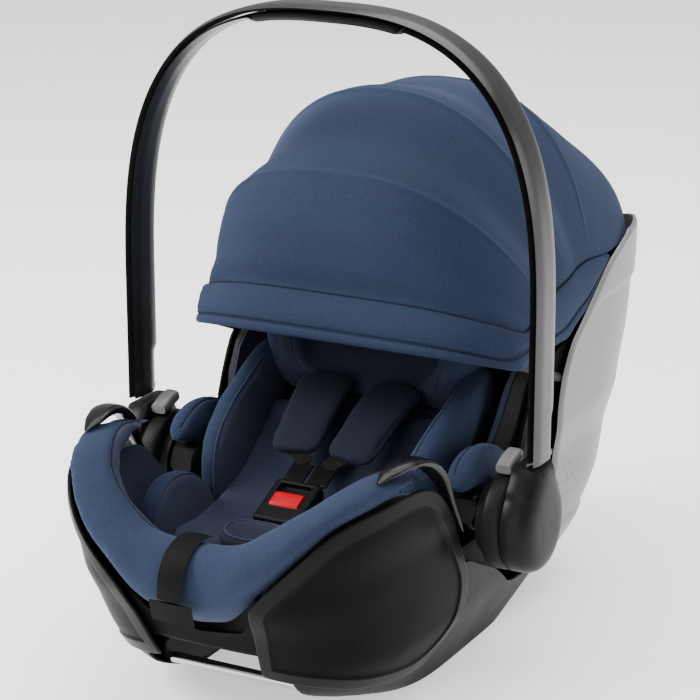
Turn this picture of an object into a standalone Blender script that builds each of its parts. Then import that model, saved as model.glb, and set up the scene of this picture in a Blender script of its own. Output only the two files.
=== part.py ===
"""Infant carrier seat: rocker base, padded bucket, folding canopy and swinging carry handle.

Metres, +Z up. The foot end faces -Y and the head end +Y. X is across, and the object is the same on both sides.
The origin is on the floor, at the middle of the carrier's width and length.
"""

import math

import bmesh
import bpy
from mathutils import Matrix, Vector

# ---------------------------------------------------------------- driving sizes
HANDLE_PIVOT = Vector((0.0, -0.0455, 0.150))
CANOPY_PIVOT = Vector((0.0, 0.140, 0.225))
HEADREST_WAY = Vector((0.0, 0.80, 0.60))

HUB_RADIUS = 0.047
HUB_INNER_X = 0.1640
HUB_SPLIT_X = 0.1930
HUB_OUTER_X = 0.2220

HANDLE_RISE = 0.4525
HANDLE_HALF_SPAN = 0.2115
HANDLE_DEPTH = 0.042

GAP = 0.0015
PANEL = 0.0026
BASE_INSET = 0.0040
BASE_WALL = 0.0030
TUB_INSET = BASE_INSET + BASE_WALL + GAP + 0.0007
TUB_WALL = 0.0032
FOAM_INSET = TUB_INSET + TUB_WALL + GAP + 0.0036
COVER_WALL = 0.0040

# Plan of the hull at each height: foot end, head end and half width. Each row is (height, value).
FOOT_Y = ((0, -0.1745), (0.015, -0.2205), (0.035, -0.2595), (0.060, -0.2785), (0.100, -0.3015),
          (0.140, -0.3260), (0.180, -0.3340), (0.240, -0.3290), (0.350, -0.3145))
HEAD_Y = ((0, 0.0985), (0.015, 0.1525), (0.045, 0.2035), (0.080, 0.2495), (0.115, 0.2855),
          (0.160, 0.3025), (0.200, 0.3075), (0.260, 0.3300), (0.334, 0.3400), (0.355, 0.3400))
HALF_X = ((0, 0.131), (0.012, 0.133), (0.035, 0.142), (0.070, 0.157), (0.110, 0.162),
          (0.150, 0.163), (0.200, 0.174), (0.350, 0.176))
FOOT_SQUARENESS = 3.6
HEAD_SQUARENESS = 7.0

# Plan of the hollow that the child lies in.
SEAT_FOOT_Y = ((0.085, -0.190), (0.110, -0.245), (0.140, -0.282), (0.200, -0.296), (0.350, -0.296))
SEAT_HEAD_Y = ((0.085, -0.070), (0.110, -0.025), (0.150, 0.045), (0.200, 0.115), (0.260, 0.200),
               (0.310, 0.265), (0.350, 0.300))
SEAT_HALF_X = ((0.085, 0.085), (0.110, 0.112), (0.150, 0.130), (0.200, 0.141), (0.350, 0.148))
SEAT_FLOOR_Z = 0.0890
SEAT_MIDDLE_Y = -0.130
SEAT_SQUARENESS = 3.4

# Edges around the hull. Each row is (angle in degrees from the foot end, height).
BASE_TOP = ((0, 0.052), (14, 0.052), (30, 0.070), (50, 0.105), (64, 0.116), (77, 0.101), (90, 0.086),
            (124, 0.044), (150, 0.038), (180, 0.036))
TUB_RIM = ((0, 0.094), (9, 0.102), (13, 0.140), (21, 0.182), (28, 0.206), (37, 0.214), (44, 0.208),
           (53, 0.172), (58, 0.140), (63, 0.128), (76, 0.128), (81, 0.150), (86, 0.160), (97, 0.164), (101, 0.204),
           (105, 0.250), (112, 0.266), (122, 0.272), (130, 0.296), (138, 0.316), (150, 0.323), (180, 0.321))
WING_TOP = ((12, 0.140), (16, 0.161), (21, 0.188), (24.5, 0.206), (28, 0.213), (33, 0.218), (37, 0.2225),
            (41, 0.2235), (44, 0.220), (48, 0.209), (53, 0.184), (61, 0.140), (64, 0.111), (69, 0.087), (80, 0.050))
WING_BOTTOM = ((12, 0.054), (16, 0.051), (24, 0.047), (40, 0.030), (60, 0.016), (80, 0.008))
BACK_TOP = ((120, 0.3540), (146, 0.3520), (152, 0.3540), (160, 0.3450), (170, 0.3380), (180, 0.3360))
BACK_FRONT_EDGE = ((0.045, 126), (0.100, 125), (0.150, 127), (0.200, 121.5), (0.236, 120.5),
                   (0.266, 123), (0.292, 129.5), (0.311, 134), (0.334, 139), (0.352, 146))
BOLSTER_LIP = ((0, 0.0965), (6, 0.106), (12, 0.1425), (16, 0.164), (21, 0.191), (24.5, 0.209), (28, 0.216),
               (33, 0.221), (37, 0.2255), (44, 0.2235), (48, 0.212))
BOLSTER_TOP = ((0, 0.180), (8, 0.184), (16, 0.204), (21, 0.219), (28, 0.235), (34, 0.239), (39, 0.2325), (48, 0.2235))

# Canopy. A fan angle is measured about CANOPY_PIVOT, up from the foot end. Each row is (fan, value).
CANOPY_RISE = ((19.6, 0.2220), (31, 0.2240), (36, 0.2440), (44, 0.2800), (50.5, 0.2950), (62, 0.2890),
               (74.5, 0.2970), (88, 0.2800), (101.6, 0.2805), (110, 0.2690), (120, 0.2600), (132, 0.2560), (143, 0.2400), (150, 0.2170))
CANOPY_HALF_X = ((19.6, 0.1800), (31, 0.1795), (40, 0.1775), (50.5, 0.1785), (62, 0.1740), (74.5, 0.1800), (88, 0.1750),
                 (101.6, 0.1790), (120, 0.1785), (132, 0.1760), (143, 0.1700), (150, 0.1640))
CANOPY_SQUARE = ((19.6, 4.0), (31, 3.8), (40, 2.9), (50.5, 2.60), (62, 2.30), (74.5, 2.28), (88, 2.25), (101.6, 2.35),
                 (110, 2.60), (120, 2.95), (132, 3.6), (143, 4.5))
SEAM_REACH = ((31.0, 0.1950), (32.2, 0.1650), (33.5, 0.1520), (36.5, 0.1450), (43.0, 0.1360), (57.6, 0.1220), (78.8, 0.1150),
              (102.9, 0.1210), (118.0, 0.1300), (129.0, 0.1490), (143.0, 0.1900), (150.0, 0.2050))
EDGE_REACH = ((19.6, 0.1600), (20.3, 0.1450), (22.6, 0.1320), (28.7, 0.1090), (38.7, 0.0840), (65.0, 0.0600),
              (96.3, 0.0680), (112.6, 0.0960), (121.0, 0.1270))
SEAM_FAN = 31.0
EDGE_FAN = 19.6
HOOPS = {"brim": 22.0, "front": 50.5, "middle": 74.5, "rear": 101.6}
CANOPY_TAIL = 150.0
HOOP_LEG_X = 0.1692
HOOP_DEPTH = 0.0072

PLASTIC_BLACK = ("black_plastic", (0.012, 0.012, 0.013), 0.38, 0.0)
PLASTIC_CHARCOAL = ("charcoal_plastic", (0.055, 0.055, 0.056), 0.45, 0.0)
PLASTIC_GREY = ("grey_satin_plastic", (0.30, 0.30, 0.30), 0.36, 0.25)
PLASTIC_HANDLE = ("handle_plastic", (0.040, 0.040, 0.041), 0.34, 0.0)
PLASTIC_BUTTON = ("button_plastic", (0.22, 0.22, 0.22), 0.40, 0.0)
RED_PLASTIC = ("red_plastic", (0.72, 0.015, 0.020), 0.30, 0.0)
RUBBER = ("grip_rubber", (0.030, 0.030, 0.031), 0.62, 0.0)
STEEL = ("steel", (0.62, 0.62, 0.64), 0.22, 1.0)
FOAM = ("foam", (0.35, 0.35, 0.36), 0.90, 0.0)
FABRIC = ("navy_fabric", (0.030, 0.062, 0.130), 0.92, 0.0)
FABRIC_DARK = ("dark_navy_fabric", (0.014, 0.024, 0.055), 0.94, 0.0)
WEBBING = ("webbing", (0.014, 0.014, 0.015), 0.80, 0.0)


# ---------------------------------------------------------------- tools
def between(rows, x):
    """Smooth, monotone interpolation through rows of (x, y)."""
    if x <= rows[0][0]:
        return rows[0][1]
    if x >= rows[-1][0]:
        return rows[-1][1]
    slopes = [(b[1] - a[1]) / (b[0] - a[0]) for a, b in zip(rows, rows[1:])]
    i = max(k for k in range(len(rows) - 1) if rows[k][0] <= x)

    def tangent(k):
        if k in (0, len(rows) - 1):
            return slopes[0 if k == 0 else -1]
        a, b = slopes[k - 1], slopes[k]
        return 0.0 if a * b <= 0 else 2 * a * b / (a + b)

    (x0, y0), (x1, y1) = rows[i], rows[i + 1]
    h = x1 - x0
    t = (x - x0) / h
    return ((2 * t**3 - 3 * t**2 + 1) * y0 + (t**3 - 2 * t**2 + t) * h * tangent(i)
            + (3 * t**2 - 2 * t**3) * y1 + (t**3 - t**2) * h * tangent(i + 1))


def material(spec):
    name, colour, roughness, metallic = spec
    found = bpy.data.materials.get(name)
    if found:
        return found
    made = bpy.data.materials.new(name)
    made.use_nodes = True
    shader = made.node_tree.nodes["Principled BSDF"]
    shader.inputs["Base Color"].default_value = (*colour, 1.0)
    shader.inputs["Roughness"].default_value = roughness
    shader.inputs["Metallic"].default_value = metallic
    return made


def finish(name, bm, spec, location=(0, 0, 0), rotation=(0, 0, 0), sharp=35, pivot=None):
    """Turns a bmesh into a named, shaded object. pivot moves its origin there and leaves its shape in place."""
    bmesh.ops.remove_doubles(bm, verts=bm.verts, dist=1e-6)
    if pivot is not None:
        bmesh.ops.translate(bm, verts=bm.verts, vec=-Vector(pivot))
        location = pivot
    bmesh.ops.recalc_face_normals(bm, faces=bm.faces)
    mesh = bpy.data.meshes.new(name)
    bm.to_mesh(mesh)
    bm.free()
    mesh.materials.append(material(spec))
    mesh.shade_smooth()
    mesh.set_sharp_from_angle(angle=math.radians(sharp))
    obj = bpy.data.objects.new(name, mesh)
    obj.location = location
    obj.rotation_euler = rotation
    bpy.context.scene.collection.objects.link(obj)
    return obj


def loft(name, rings, spec, **place):
    """A closed solid through rings of points, with a flat face on each end."""
    bm = bmesh.new()
    rows = [[bm.verts.new(p) for p in ring] for ring in rings]
    count = len(rows[0])
    for a, b in zip(rows, rows[1:]):
        for k in range(count):
            bm.faces.new((a[k], a[(k + 1) % count], b[(k + 1) % count], b[k]))
    bm.faces.new(rows[0][::-1])
    bm.faces.new(rows[-1])
    return finish(name, bm, spec, **place)


def skin(name, outer, inner, spec, wrap=False, cap=False):
    """A closed wall between two equal grids of points. wrap closes each row; cap closes the first row's end."""
    bm = bmesh.new()
    out = [[bm.verts.new(p) for p in row] for row in outer]
    inn = [[bm.verts.new(p) for p in row] for row in inner]
    rows, columns = len(out), len(out[0])
    span = columns if wrap else columns - 1
    for j in range(rows - 1):
        for k in range(span):
            n = (k + 1) % columns
            bm.faces.new((out[j][k], out[j][n], out[j + 1][n], out[j + 1][k]))
            bm.faces.new((inn[j][k], inn[j + 1][k], inn[j + 1][n], inn[j][n]))
    for k in range(span):
        n = (k + 1) % columns
        bm.faces.new((out[-1][k], out[-1][n], inn[-1][n], inn[-1][k]))
        if not cap:
            bm.faces.new((out[0][k], inn[0][k], inn[0][n], out[0][n]))
    if cap:
        bm.faces.new(out[0][::-1])
        bm.faces.new(inn[0])
    if not wrap:
        for j in range(rows - 1):
            bm.faces.new((out[j][0], out[j + 1][0], inn[j + 1][0], inn[j][0]))
            bm.faces.new((out[j][-1], inn[j][-1], inn[j + 1][-1], out[j + 1][-1]))
    return finish(name, bm, spec)


def block(name, size, spec, bevel=0.003, segments=2, location=(0, 0, 0), rotation=(0, 0, 0)):
    """A box with rounded edges."""
    bm = bmesh.new()
    bmesh.ops.create_cube(bm, size=1.0, matrix=Matrix.Diagonal((*size, 1.0)))
    obj = finish(name, bm, spec, location=location, rotation=rotation)
    rounding = obj.modifiers.new("rounding", "BEVEL")
    rounding.width = bevel
    rounding.segments = segments
    return obj


def turned(name, profile, spec, segments=32, centre=(0, 0, 0), side=1):
    """A solid of revolution about an X axis. profile runs through (x, radius); a bore is a profile that returns."""
    bm = bmesh.new()
    rows = []
    for x, radius in profile:
        rows.append([bm.verts.new((side * x, radius * math.cos(a), radius * math.sin(a)))
                     for a in (math.tau * k / segments for k in range(segments))])
    closed = profile[0] == profile[-1]
    for a, b in zip(rows, rows[1:]):
        for k in range(segments):
            n = (k + 1) % segments
            bm.faces.new((a[k], a[n], b[n], b[k]))
    if not closed:
        bm.faces.new(rows[0][::-1])
        bm.faces.new(rows[-1])
    return finish(name, bm, spec, location=centre)


def cut(target, cutter):
    """Subtracts cutter, which stays in the file as a wire guide."""
    cutter.hide_render = True
    cutter.display_type = "WIRE"
    change = target.modifiers.new("cut_" + cutter.name, "BOOLEAN")
    change.operation = "DIFFERENCE"
    change.object = cutter


def oval(half_a, half_b, squareness, count):
    """Points of a superellipse, in two dimensions, anticlockwise."""
    found = []
    for k in range(count):
        a = math.tau * k / count
        c, s = math.cos(a), math.sin(a)
        r = (abs(c / half_a) ** squareness + abs(s / half_b) ** squareness) ** (-1 / squareness)
        found.append((r * c, r * s))
    return found


# ---------------------------------------------------------------- surfaces
def slice_point(degrees, z, rows, inset, squareness):
    """A point on one plan outline. Angles run from the foot end round by +X to the head end."""
    foot, head, half = (between(table, z) for table in rows)
    middle, length, half = (foot + head) / 2, (head - foot) / 2 - inset, half - inset
    a = math.radians(degrees)
    n = squareness[0] if math.cos(a) > 0 else squareness[1]
    r = (abs(math.sin(a) / half) ** n + abs(math.cos(a) / length) ** n) ** (-1 / n)
    return Vector((r * math.sin(a), middle - r * math.cos(a), z))


def hull(degrees, z, inset=0.0):
    return slice_point(degrees, z, (FOOT_Y, HEAD_Y, HALF_X), inset, (FOOT_SQUARENESS, HEAD_SQUARENESS))


def hollow(degrees, z, inset=0.0):
    return slice_point(degrees, z, (SEAT_FOOT_Y, SEAT_HEAD_Y, SEAT_HALF_X), inset, (SEAT_SQUARENESS, SEAT_SQUARENESS))


def round_angles(count):
    return [360.0 * k / count for k in range(count)]


def folded(degrees):
    """The same place on the right-hand side, from 0 to 180 degrees."""
    return abs((degrees + 180.0) % 360.0 - 180.0)


def arc(fan, a, lift=0.0, rise=None, half=None):
    """A point of the hoop at one fan angle. a runs from 0 at the right side to pi at the left."""
    rise = (between(CANOPY_RISE, fan) if rise is None else rise) + lift
    half = (between(CANOPY_HALF_X, fan) if half is None else half) + lift
    n = between(CANOPY_SQUARE, fan)
    x = half * math.copysign(abs(math.cos(a)) ** (2 / n), math.cos(a))
    reach = rise * abs(math.sin(a)) ** (2 / n)
    t = math.radians(fan)
    return CANOPY_PIVOT + Vector((x, -reach * math.cos(t), reach * math.sin(t)))


def arc_start(fan, reach):
    """Where on the hoop its distance from the pivot has grown to reach."""
    n = between(CANOPY_SQUARE, fan)
    return math.asin(min(0.999, (reach / between(CANOPY_RISE, fan)) ** (n / 2)))


def canopy(fan, along, lift=0.0, low=0.0):
    """A point of a canopy panel. along runs from 0 at the right-hand seam to 1 at the left-hand seam."""
    start = arc_start(fan, between(SEAM_REACH, fan) + low)
    return arc(fan, start + (math.pi - 2 * start) * along, lift)


def border(rows, front_fan, last_fan, count):
    """A line along the canopy's lower edge, from the left rear round the front to the right rear, evenly spaced."""
    start = arc_start(front_fan, between(rows, front_fan))
    line = [arc(front_fan, math.pi / 2 + (start - math.pi / 2) * k / 40) for k in range(41)]
    for k in range(1, 81):
        fan = front_fan + (last_fan - front_fan) * k / 80
        line.append(arc(fan, arc_start(fan, between(rows, fan))))
    lengths = [0.0]
    for a, b in zip(line, line[1:]):
        lengths.append(lengths[-1] + (b - a).length)
    half = []
    for k in range(count + 1):
        want = lengths[-1] * k / count
        i = max(j for j in range(len(line)) if lengths[j] <= want + 1e-12)
        i = min(i, len(line) - 2)
        half.append(line[i].lerp(line[i + 1], (want - lengths[i]) / (lengths[i + 1] - lengths[i])))
    return [Vector((-p.x, p.y, p.z)) for p in half[:0:-1]] + half


def handle_line(t):
    """The middle of the handle's band: t from -1 at the left hub, over the top at 0, to 1 at the right hub."""
    side = math.copysign(1.0, t)
    s = abs(t)
    leg = 0.30
    if s > 1 - leg:
        share = (s - (1 - leg)) / leg
        rise = 0.180 * (1 - share) + 0.060 * share
        return Vector((side * HANDLE_HALF_SPAN, HANDLE_PIVOT.y, HANDLE_PIVOT.z + rise))
    a = (1 - s / (1 - leg)) * math.pi / 2
    n = 2.75
    c, q = math.cos(a), math.sin(a)
    r = (abs(c) ** n + abs(q) ** n) ** (-1 / n)
    return Vector((side * HANDLE_HALF_SPAN * r * c, HANDLE_PIVOT.y,
                   HANDLE_PIVOT.z + 0.180 + (HANDLE_RISE - 0.180) * r * q))


def band(name, first, last, steps, thickness, depth, offset, spec, squareness=3.0, count=8):
    """A stretch of the handle's band. offset moves it out from the middle line."""
    rings = []
    for k in range(steps + 1):
        t = first + (last - first) * k / steps
        here = handle_line(t)
        ahead = (handle_line(min(1, t + 0.004)) - handle_line(max(-1, t - 0.004))).normalized()
        out = Vector((-ahead.z, 0, ahead.x))
        if out.dot(here - Vector((0, HANDLE_PIVOT.y, HANDLE_PIVOT.z + 0.15))) < 0:
            out = -out
        centre = here + out * offset
        rings.append([centre + out * a + Vector((0, b, 0)) for a, b in oval(thickness / 2, depth / 2, squareness, count)])
    return loft(name, rings, spec, pivot=HANDLE_PIVOT)


# ---------------------------------------------------------------- base and tub
def make_base():
    angles = round_angles(64)
    levels = (0.0, 0.16, 0.34, 0.6, 1.0)

    def grid(inset, lowest):
        rows = [[Vector((p.x * 0.5, p.y * 0.5 - 0.019, lowest)) for p in (hull(a, 0, inset) for a in angles)]]
        for level in levels:
            row = []
            for a in angles:
                top = between(BASE_TOP, folded(a))
                row.append(hull(a, lowest + (top - lowest) * level, inset))
            rows.append(row)
        return rows

    base = skin("base_shell", grid(BASE_INSET, 0.0), grid(BASE_INSET + BASE_WALL, BASE_WALL), PLASTIC_CHARCOAL,
                wrap=True, cap=True)
    width, height, front, back = 0.150, 0.062, -0.32, -0.075
    cutter = block("tunnel_cutter", (width, back - front, height * 2), PLASTIC_BLACK, bevel=0.012,
                   location=(0, (front + back) / 2, 0))
    cut(base, cutter)


def make_tunnel():
    """The moulded channel under the foot end, which the latch bars of an in-car base reach into."""
    half, top, wall = 0.0740, 0.0600, 0.0025
    rings = []
    for y, low in ((-0.2330, 0.0330), (-0.2150, 0.0200), (-0.1900, 0.0100), (-0.1600, 0.0060), (-0.0770, 0.0060)):
        outline = [(-half, low), (-half, top - 0.012), (-half + 0.012, top), (half - 0.012, top), (half, top - 0.012),
                   (half, low), (half - wall, low), (half - wall, top - 0.013), (half - 0.013, top - wall),
                   (-half + 0.013, top - wall), (-half + wall, top - 0.013), (-half + wall, low)]
        rings.append([Vector((x, y, z)) for x, z in outline])
    loft("underside_channel", rings, PLASTIC_BLACK)


def make_latch_bar(name, y, z, half):
    bm = bmesh.new()
    bmesh.ops.create_cone(bm, cap_ends=True, segments=16, radius1=0.005, radius2=0.005, depth=2 * half)
    finish(name, bm, STEEL, location=(0, y, z), rotation=(0, math.pi / 2, 0))


def make_tub():
    angles = round_angles(64)
    levels = (0.0, 0.12, 0.3, 0.5, 0.75, 1.0)
    lowest = 0.0745

    def grid(inset, low):
        rows = []
        for level in levels:
            row = []
            for a in angles:
                top = between(TUB_RIM, folded(a))
                row.append(hull(a, low + (top - low) * level, inset + (0.0012 if level == 0.0 else 0.0)))
            rows.append(row)
        return rows

    skin("inner_tub", grid(TUB_INSET, lowest), grid(TUB_INSET + TUB_WALL, lowest + TUB_WALL), PLASTIC_BLACK,
         wrap=True, cap=True)


def at_bearing(shape, bearing, z, inset):
    """The point of a plan outline at a bearing from the middle of the seat, and its own angle on the outline."""
    low, high = 0.0, 180.0
    for _ in range(26):
        angle = (low + high) / 2
        p = shape(angle, z, inset)
        if math.degrees(math.atan2(p.x, SEAT_MIDDLE_Y - p.y)) < folded(bearing):
            low = angle
        else:
            high = angle
    side = 1 if 0 < bearing < 180 else -1 if bearing > 180 else 0
    return Vector((side * p.x, p.y, z)), angle


def make_foam_and_cover():
    angles = round_angles(64)
    levels = (0.0, 0.12, 0.3, 0.5, 0.75, 1.0)
    low_out, low_in = 0.0745 + TUB_WALL + GAP, SEAT_FLOOR_Z - COVER_WALL - GAP
    tops = []
    for a in angles:
        z = 0.2
        for _ in range(20):
            z = 0.5 * (z + between(TUB_RIM, at_bearing(hull, a, z, FOAM_INSET)[1]) - 0.0025)
        tops.append(z)

    def wall(shape, inset, low):
        return [[at_bearing(shape, a, low + (top - low) * v, inset)[0] for a, top in zip(angles, tops)] for v in levels]

    skin("foam_liner", wall(hull, FOAM_INSET, low_out), wall(hollow, -COVER_WALL - GAP, low_in), FOAM, wrap=True, cap=True)
    skin("seat_cover", wall(hollow, -COVER_WALL, low_in + GAP + 0.0003), wall(hollow, 0.0, SEAT_FLOOR_Z), FABRIC_DARK,
         wrap=True, cap=True)


def make_wing(side):
    name = "side_panel_" + ("right" if side > 0 else "left")
    columns = [WING_BOTTOM[0][0] + (WING_BOTTOM[-1][0] - WING_BOTTOM[0][0]) * k / 20 for k in range(21)]
    levels = [v / 6 for v in range(7)]

    def grid(inset):
        rows = []
        for v in levels:
            row = []
            for a in columns:
                low, high = between(WING_BOTTOM, a), between(WING_TOP, a)
                p = hull(a, low + (high - low) * v, inset)
                row.append(Vector((side * p.x, p.y, p.z)))
            rows.append(row)
        return rows

    skin(name, grid(0.0), grid(PANEL), PLASTIC_BLACK)


def make_back_shell():
    rows = 12
    columns = 20
    low, high = 0.047, 0.3540

    def grid(inset):
        found = []
        for j in range(rows + 1):
            z = low + (high - low) * j / rows
            edge = between(BACK_FRONT_EDGE, z)
            angles = [edge + (360 - 2 * edge) * k / columns for k in range(columns + 1)]
            found.append([hull(a, low + (z - low) * (between(BACK_TOP, folded(a)) - low) / (high - low), inset)
                          for a in angles])
        return found

    return skin("back_shell", grid(0.0), grid(0.0030), PLASTIC_GREY)


def make_horn(side):
    """The glossy black horn of the belt path: a cap over the end of the padded foot end, then a strip down the wing."""
    name = "belt_horn_" + ("right" if side > 0 else "left")
    route = ((0.1500, -0.2320, 0.2440, 0.0070, 0.0020), (0.1530, -0.2120, 0.2475, 0.0100, 0.0026),
             (0.1555, -0.1900, 0.2455, 0.0110, 0.0030), (0.1580, -0.1690, 0.2360, 0.0100, 0.0032),
             (0.1605, -0.1520, 0.2200, 0.0070, 0.0032), (0.1625, -0.1400, 0.2030, 0.0040, 0.0028),
             (0.1630, -0.1210, 0.1780, 0.0030, 0.0024), (0.1620, -0.1030, 0.1530, 0.0026, 0.0022))
    rings = []
    for k, p in enumerate(route):
        a, b = Vector(route[max(0, k - 1)][:3]), Vector(route[min(len(route) - 1, k + 1)][:3])
        ahead = (b - a).normalized()
        up = ahead.cross(Vector((1, 0, 0))).normalized()
        if up.z < 0:
            up = -up
        rings.append([Vector((side * (p[0] + u), p[1] + up.y * w, p[2] + up.z * w))
                      for u, w in oval(p[3], p[4], 2.6, 12)])
    loft(name, rings, PLASTIC_BLACK)


def make_belt_guide(side):
    """The rounded hook that the vehicle's lap belt runs under."""
    name = "belt_guide_" + ("right" if side > 0 else "left")
    centre = Vector((0, -0.0640, 0.1580))
    obj = turned(name, ((0.1320, 0.009), (0.1345, 0.0145), (0.1390, 0.0170), (0.1560, 0.0175), (0.1605, 0.0155),
                        (0.1625, 0.010)), PLASTIC_BLACK, segments=24, centre=centre, side=side)
    slot = block(name + "_slot", (0.030, 0.010, 0.026), PLASTIC_BLACK, bevel=0.002,
                 location=(side * 0.152, centre.y - 0.0165, centre.z + 0.004), rotation=(math.radians(-24), 0, 0))
    cut(obj, slot)


# ---------------------------------------------------------------- soft pieces
def make_bolster():
    """The padded foot end: a roll of changing height round the foot of the rim."""
    rings = []
    steps = 24
    last = 45.0
    for k in range(steps + 1):
        a = -last + 2 * last * k / steps
        f = folded(a)
        low, high = between(BOLSTER_LIP, f), between(BOLSTER_TOP, f)
        end = min(1.0, (last - f) / 5)
        girth = 0.60 + 0.40 * math.sqrt(max(0.0, end))
        thick = between(((0, 0.030), (12, 0.027), (28, 0.021), (47, 0.018)), f) * girth
        middle, half = (low + high) / 2, (high - low) / 2 * girth
        outside = between(((0, 0.0030), (10, 0.0025), (14, 0.000), (47, 0.000)), f)
        ring = []
        for u, w in oval(thick, half, 2.3, 12):
            z = middle + w
            p = hull(a, max(0.09, z), thick - outside - u)
            ring.append(Vector((p.x, p.y, z)))
        rings.append(ring)
    loft("foot_bolster", rings, FABRIC)


def make_insert():
    """The newborn insert: a channel-shaped cushion on the seat and the back, with raised thigh sides."""
    spine = ((-0.222, 0.1190), (-0.180, 0.1110), (-0.120, 0.1080), (-0.070, 0.1210), (-0.015, 0.1560),
             (0.035, 0.1940))
    flank = ((0.030, 0.056), (0.038, 0.066), (0.036, 0.060), (0.036, 0.058), (0.040, 0.064), (0.038, 0.060))
    width = (0.098, 0.104, 0.106, 0.110, 0.116, 0.118)
    rings = []
    for k, (y, z) in enumerate(spine):
        a, b = spine[max(0, k - 1)], spine[min(len(spine) - 1, k + 1)]
        ahead = Vector((0, b[0] - a[0], b[1] - a[1])).normalized()
        up = Vector((1, 0, 0)).cross(ahead).normalized()
        w, (_, rise) = width[k], flank[k]
        t = 0.016
        outline = ((-w, 0), (w, 0), (w + 0.008, rise * 0.5), (w + 0.004, rise), (w - 0.010, rise + 0.004),
                   (w - 0.022, rise - 0.010), (w - 0.034, t + 0.008), (w - 0.055, t), (0, t - 0.003),
                   (-w + 0.055, t), (-w + 0.034, t + 0.008), (-w + 0.022, rise - 0.010), (-w + 0.010, rise + 0.004),
                   (-w - 0.004, rise), (-w - 0.008, rise * 0.5))
        rings.append([Vector((x, y, z)) + up * h for x, h in outline])
    loft("newborn_insert", rings, FABRIC_DARK)


def along_back(distance, lift=0.0, x=0.0):
    """A point on the reclined back of the seat, distance up it and lift above it."""
    way = HEADREST_WAY.normalized()
    up = Vector((1, 0, 0)).cross(way)
    return Vector((x, 0.028, 0.190)) + way * distance + up * lift


def make_headrest():
    stations = ((0.030, 0.094, 0.052), (0.055, 0.104, 0.080), (0.095, 0.108, 0.092), (0.135, 0.108, 0.092),
                (0.170, 0.104, 0.080), (0.195, 0.094, 0.056))
    rings = []
    for distance, w, rise in stations:
        t = 0.020
        outline = ((-w, 0), (w, 0), (w + 0.010, rise * 0.5), (w + 0.006, rise), (w - 0.008, rise + 0.005),
                   (w - 0.022, rise - 0.006), (w - 0.030, t + 0.014), (w - 0.052, t), (0, t - 0.002),
                   (-w + 0.052, t), (-w + 0.030, t + 0.014), (-w + 0.022, rise - 0.006), (-w + 0.008, rise + 0.005),
                   (-w - 0.006, rise), (-w - 0.010, rise * 0.5))
        rings.append([along_back(distance, 0.010 + h, x) for x, h in outline])
    loft("headrest_cushion", rings, FABRIC_DARK, pivot=along_back(0.112))
    tilt = math.atan2(HEADREST_WAY.z, HEADREST_WAY.y)
    block("headrest_plate", (0.150, 0.150, 0.004), PLASTIC_BLACK, bevel=0.0012, segments=1,
          location=along_back(0.112, 0.0065), rotation=(tilt, 0, 0))
    block("headrest_button", (0.036, 0.012, 0.016), PLASTIC_BUTTON, bevel=0.003, segments=2,
          location=along_back(0.2045, 0.020), rotation=(tilt, 0, 0))


def strip(name, route, half_width, half_thickness, spec, turn=None):
    """A flat strap along a route of points. Its width lies along X unless turn gives one direction per point."""
    rings = []
    for k, p in enumerate(route):
        a, b = Vector(route[max(0, k - 1)]), Vector(route[min(len(route) - 1, k + 1)])
        ahead = (b - a).normalized()
        across = Vector(turn[k]).normalized() if turn else Vector((1, 0, 0))
        across = (across - ahead * across.dot(ahead)).normalized()
        up = across.cross(ahead)
        rings.append([Vector(p) + across * u + up * w
                      for u, w in ((-half_width, -half_thickness), (half_width, -half_thickness),
                                   (half_width, half_thickness), (-half_width, half_thickness))])
    return loft(name, rings, spec)


def make_harness():
    tilt = math.radians(24)
    buckle = Vector((0, -0.1320, 0.1570))
    block("buckle_body", (0.048, 0.056, 0.017), PLASTIC_BLACK, bevel=0.004, segments=3,
          location=buckle, rotation=(tilt, 0, 0))
    pocket = block("buckle_pocket", (0.032, 0.022, 0.012), PLASTIC_BLACK, bevel=0.002,
                   location=buckle + Vector((0, 0.010 * math.cos(tilt) - 0.009 * math.sin(tilt),
                                              0.010 * math.sin(tilt) + 0.009 * math.cos(tilt))),
                   rotation=(tilt, 0, 0))
    cut(bpy.data.objects["buckle_body"], pocket)
    block("buckle_button", (0.030, 0.020, 0.0050), RED_PLASTIC, bevel=0.0012, segments=2,
          location=buckle + Vector((0, 0.010 * math.cos(tilt) - 0.0078 * math.sin(tilt),
                                     0.010 * math.sin(tilt) + 0.0078 * math.cos(tilt))),
          rotation=(tilt, 0, 0))
    for side, word in ((1, "right"), (-1, "left")):
        block("buckle_tongue_" + word, (0.021, 0.026, 0.0028), STEEL, bevel=0.0008, segments=1,
              location=buckle + Vector((side * 0.0125, 0.0405, 0.0180)), rotation=(tilt, 0, 0))
        route = [(side * x, y, z) for x, y, z in ((0.0285, -0.0740, 0.1870), (0.0310, -0.056, 0.1980),
                                                   (0.0350, -0.020, 0.2220), (0.0390, 0.008, 0.2420))]
        strip("shoulder_pad_" + word, route, 0.0260, 0.0045, FABRIC_DARK)
    strip("crotch_strap", [(0, -0.160, 0.1400), (0, -0.142, 0.1320), (0, -0.126, 0.1265)], 0.016, 0.0012, WEBBING)
    rings = []
    for k, (y, z, w) in enumerate(((-0.222, 0.1450, 0.020), (-0.212, 0.1490, 0.030), (-0.190, 0.1520, 0.034),
                                   (-0.170, 0.1480, 0.028))):
        rings.append([Vector((u, y, z + v)) for u, v in oval(w, 0.0065, 2.6, 12)])
    loft("crotch_pad", rings, FABRIC_DARK)
    block("harness_adjuster", (0.044, 0.020, 0.012), PLASTIC_BLACK, bevel=0.003,
          location=(0, -0.2480, 0.1280), rotation=(math.radians(-30), 0, 0))


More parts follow.
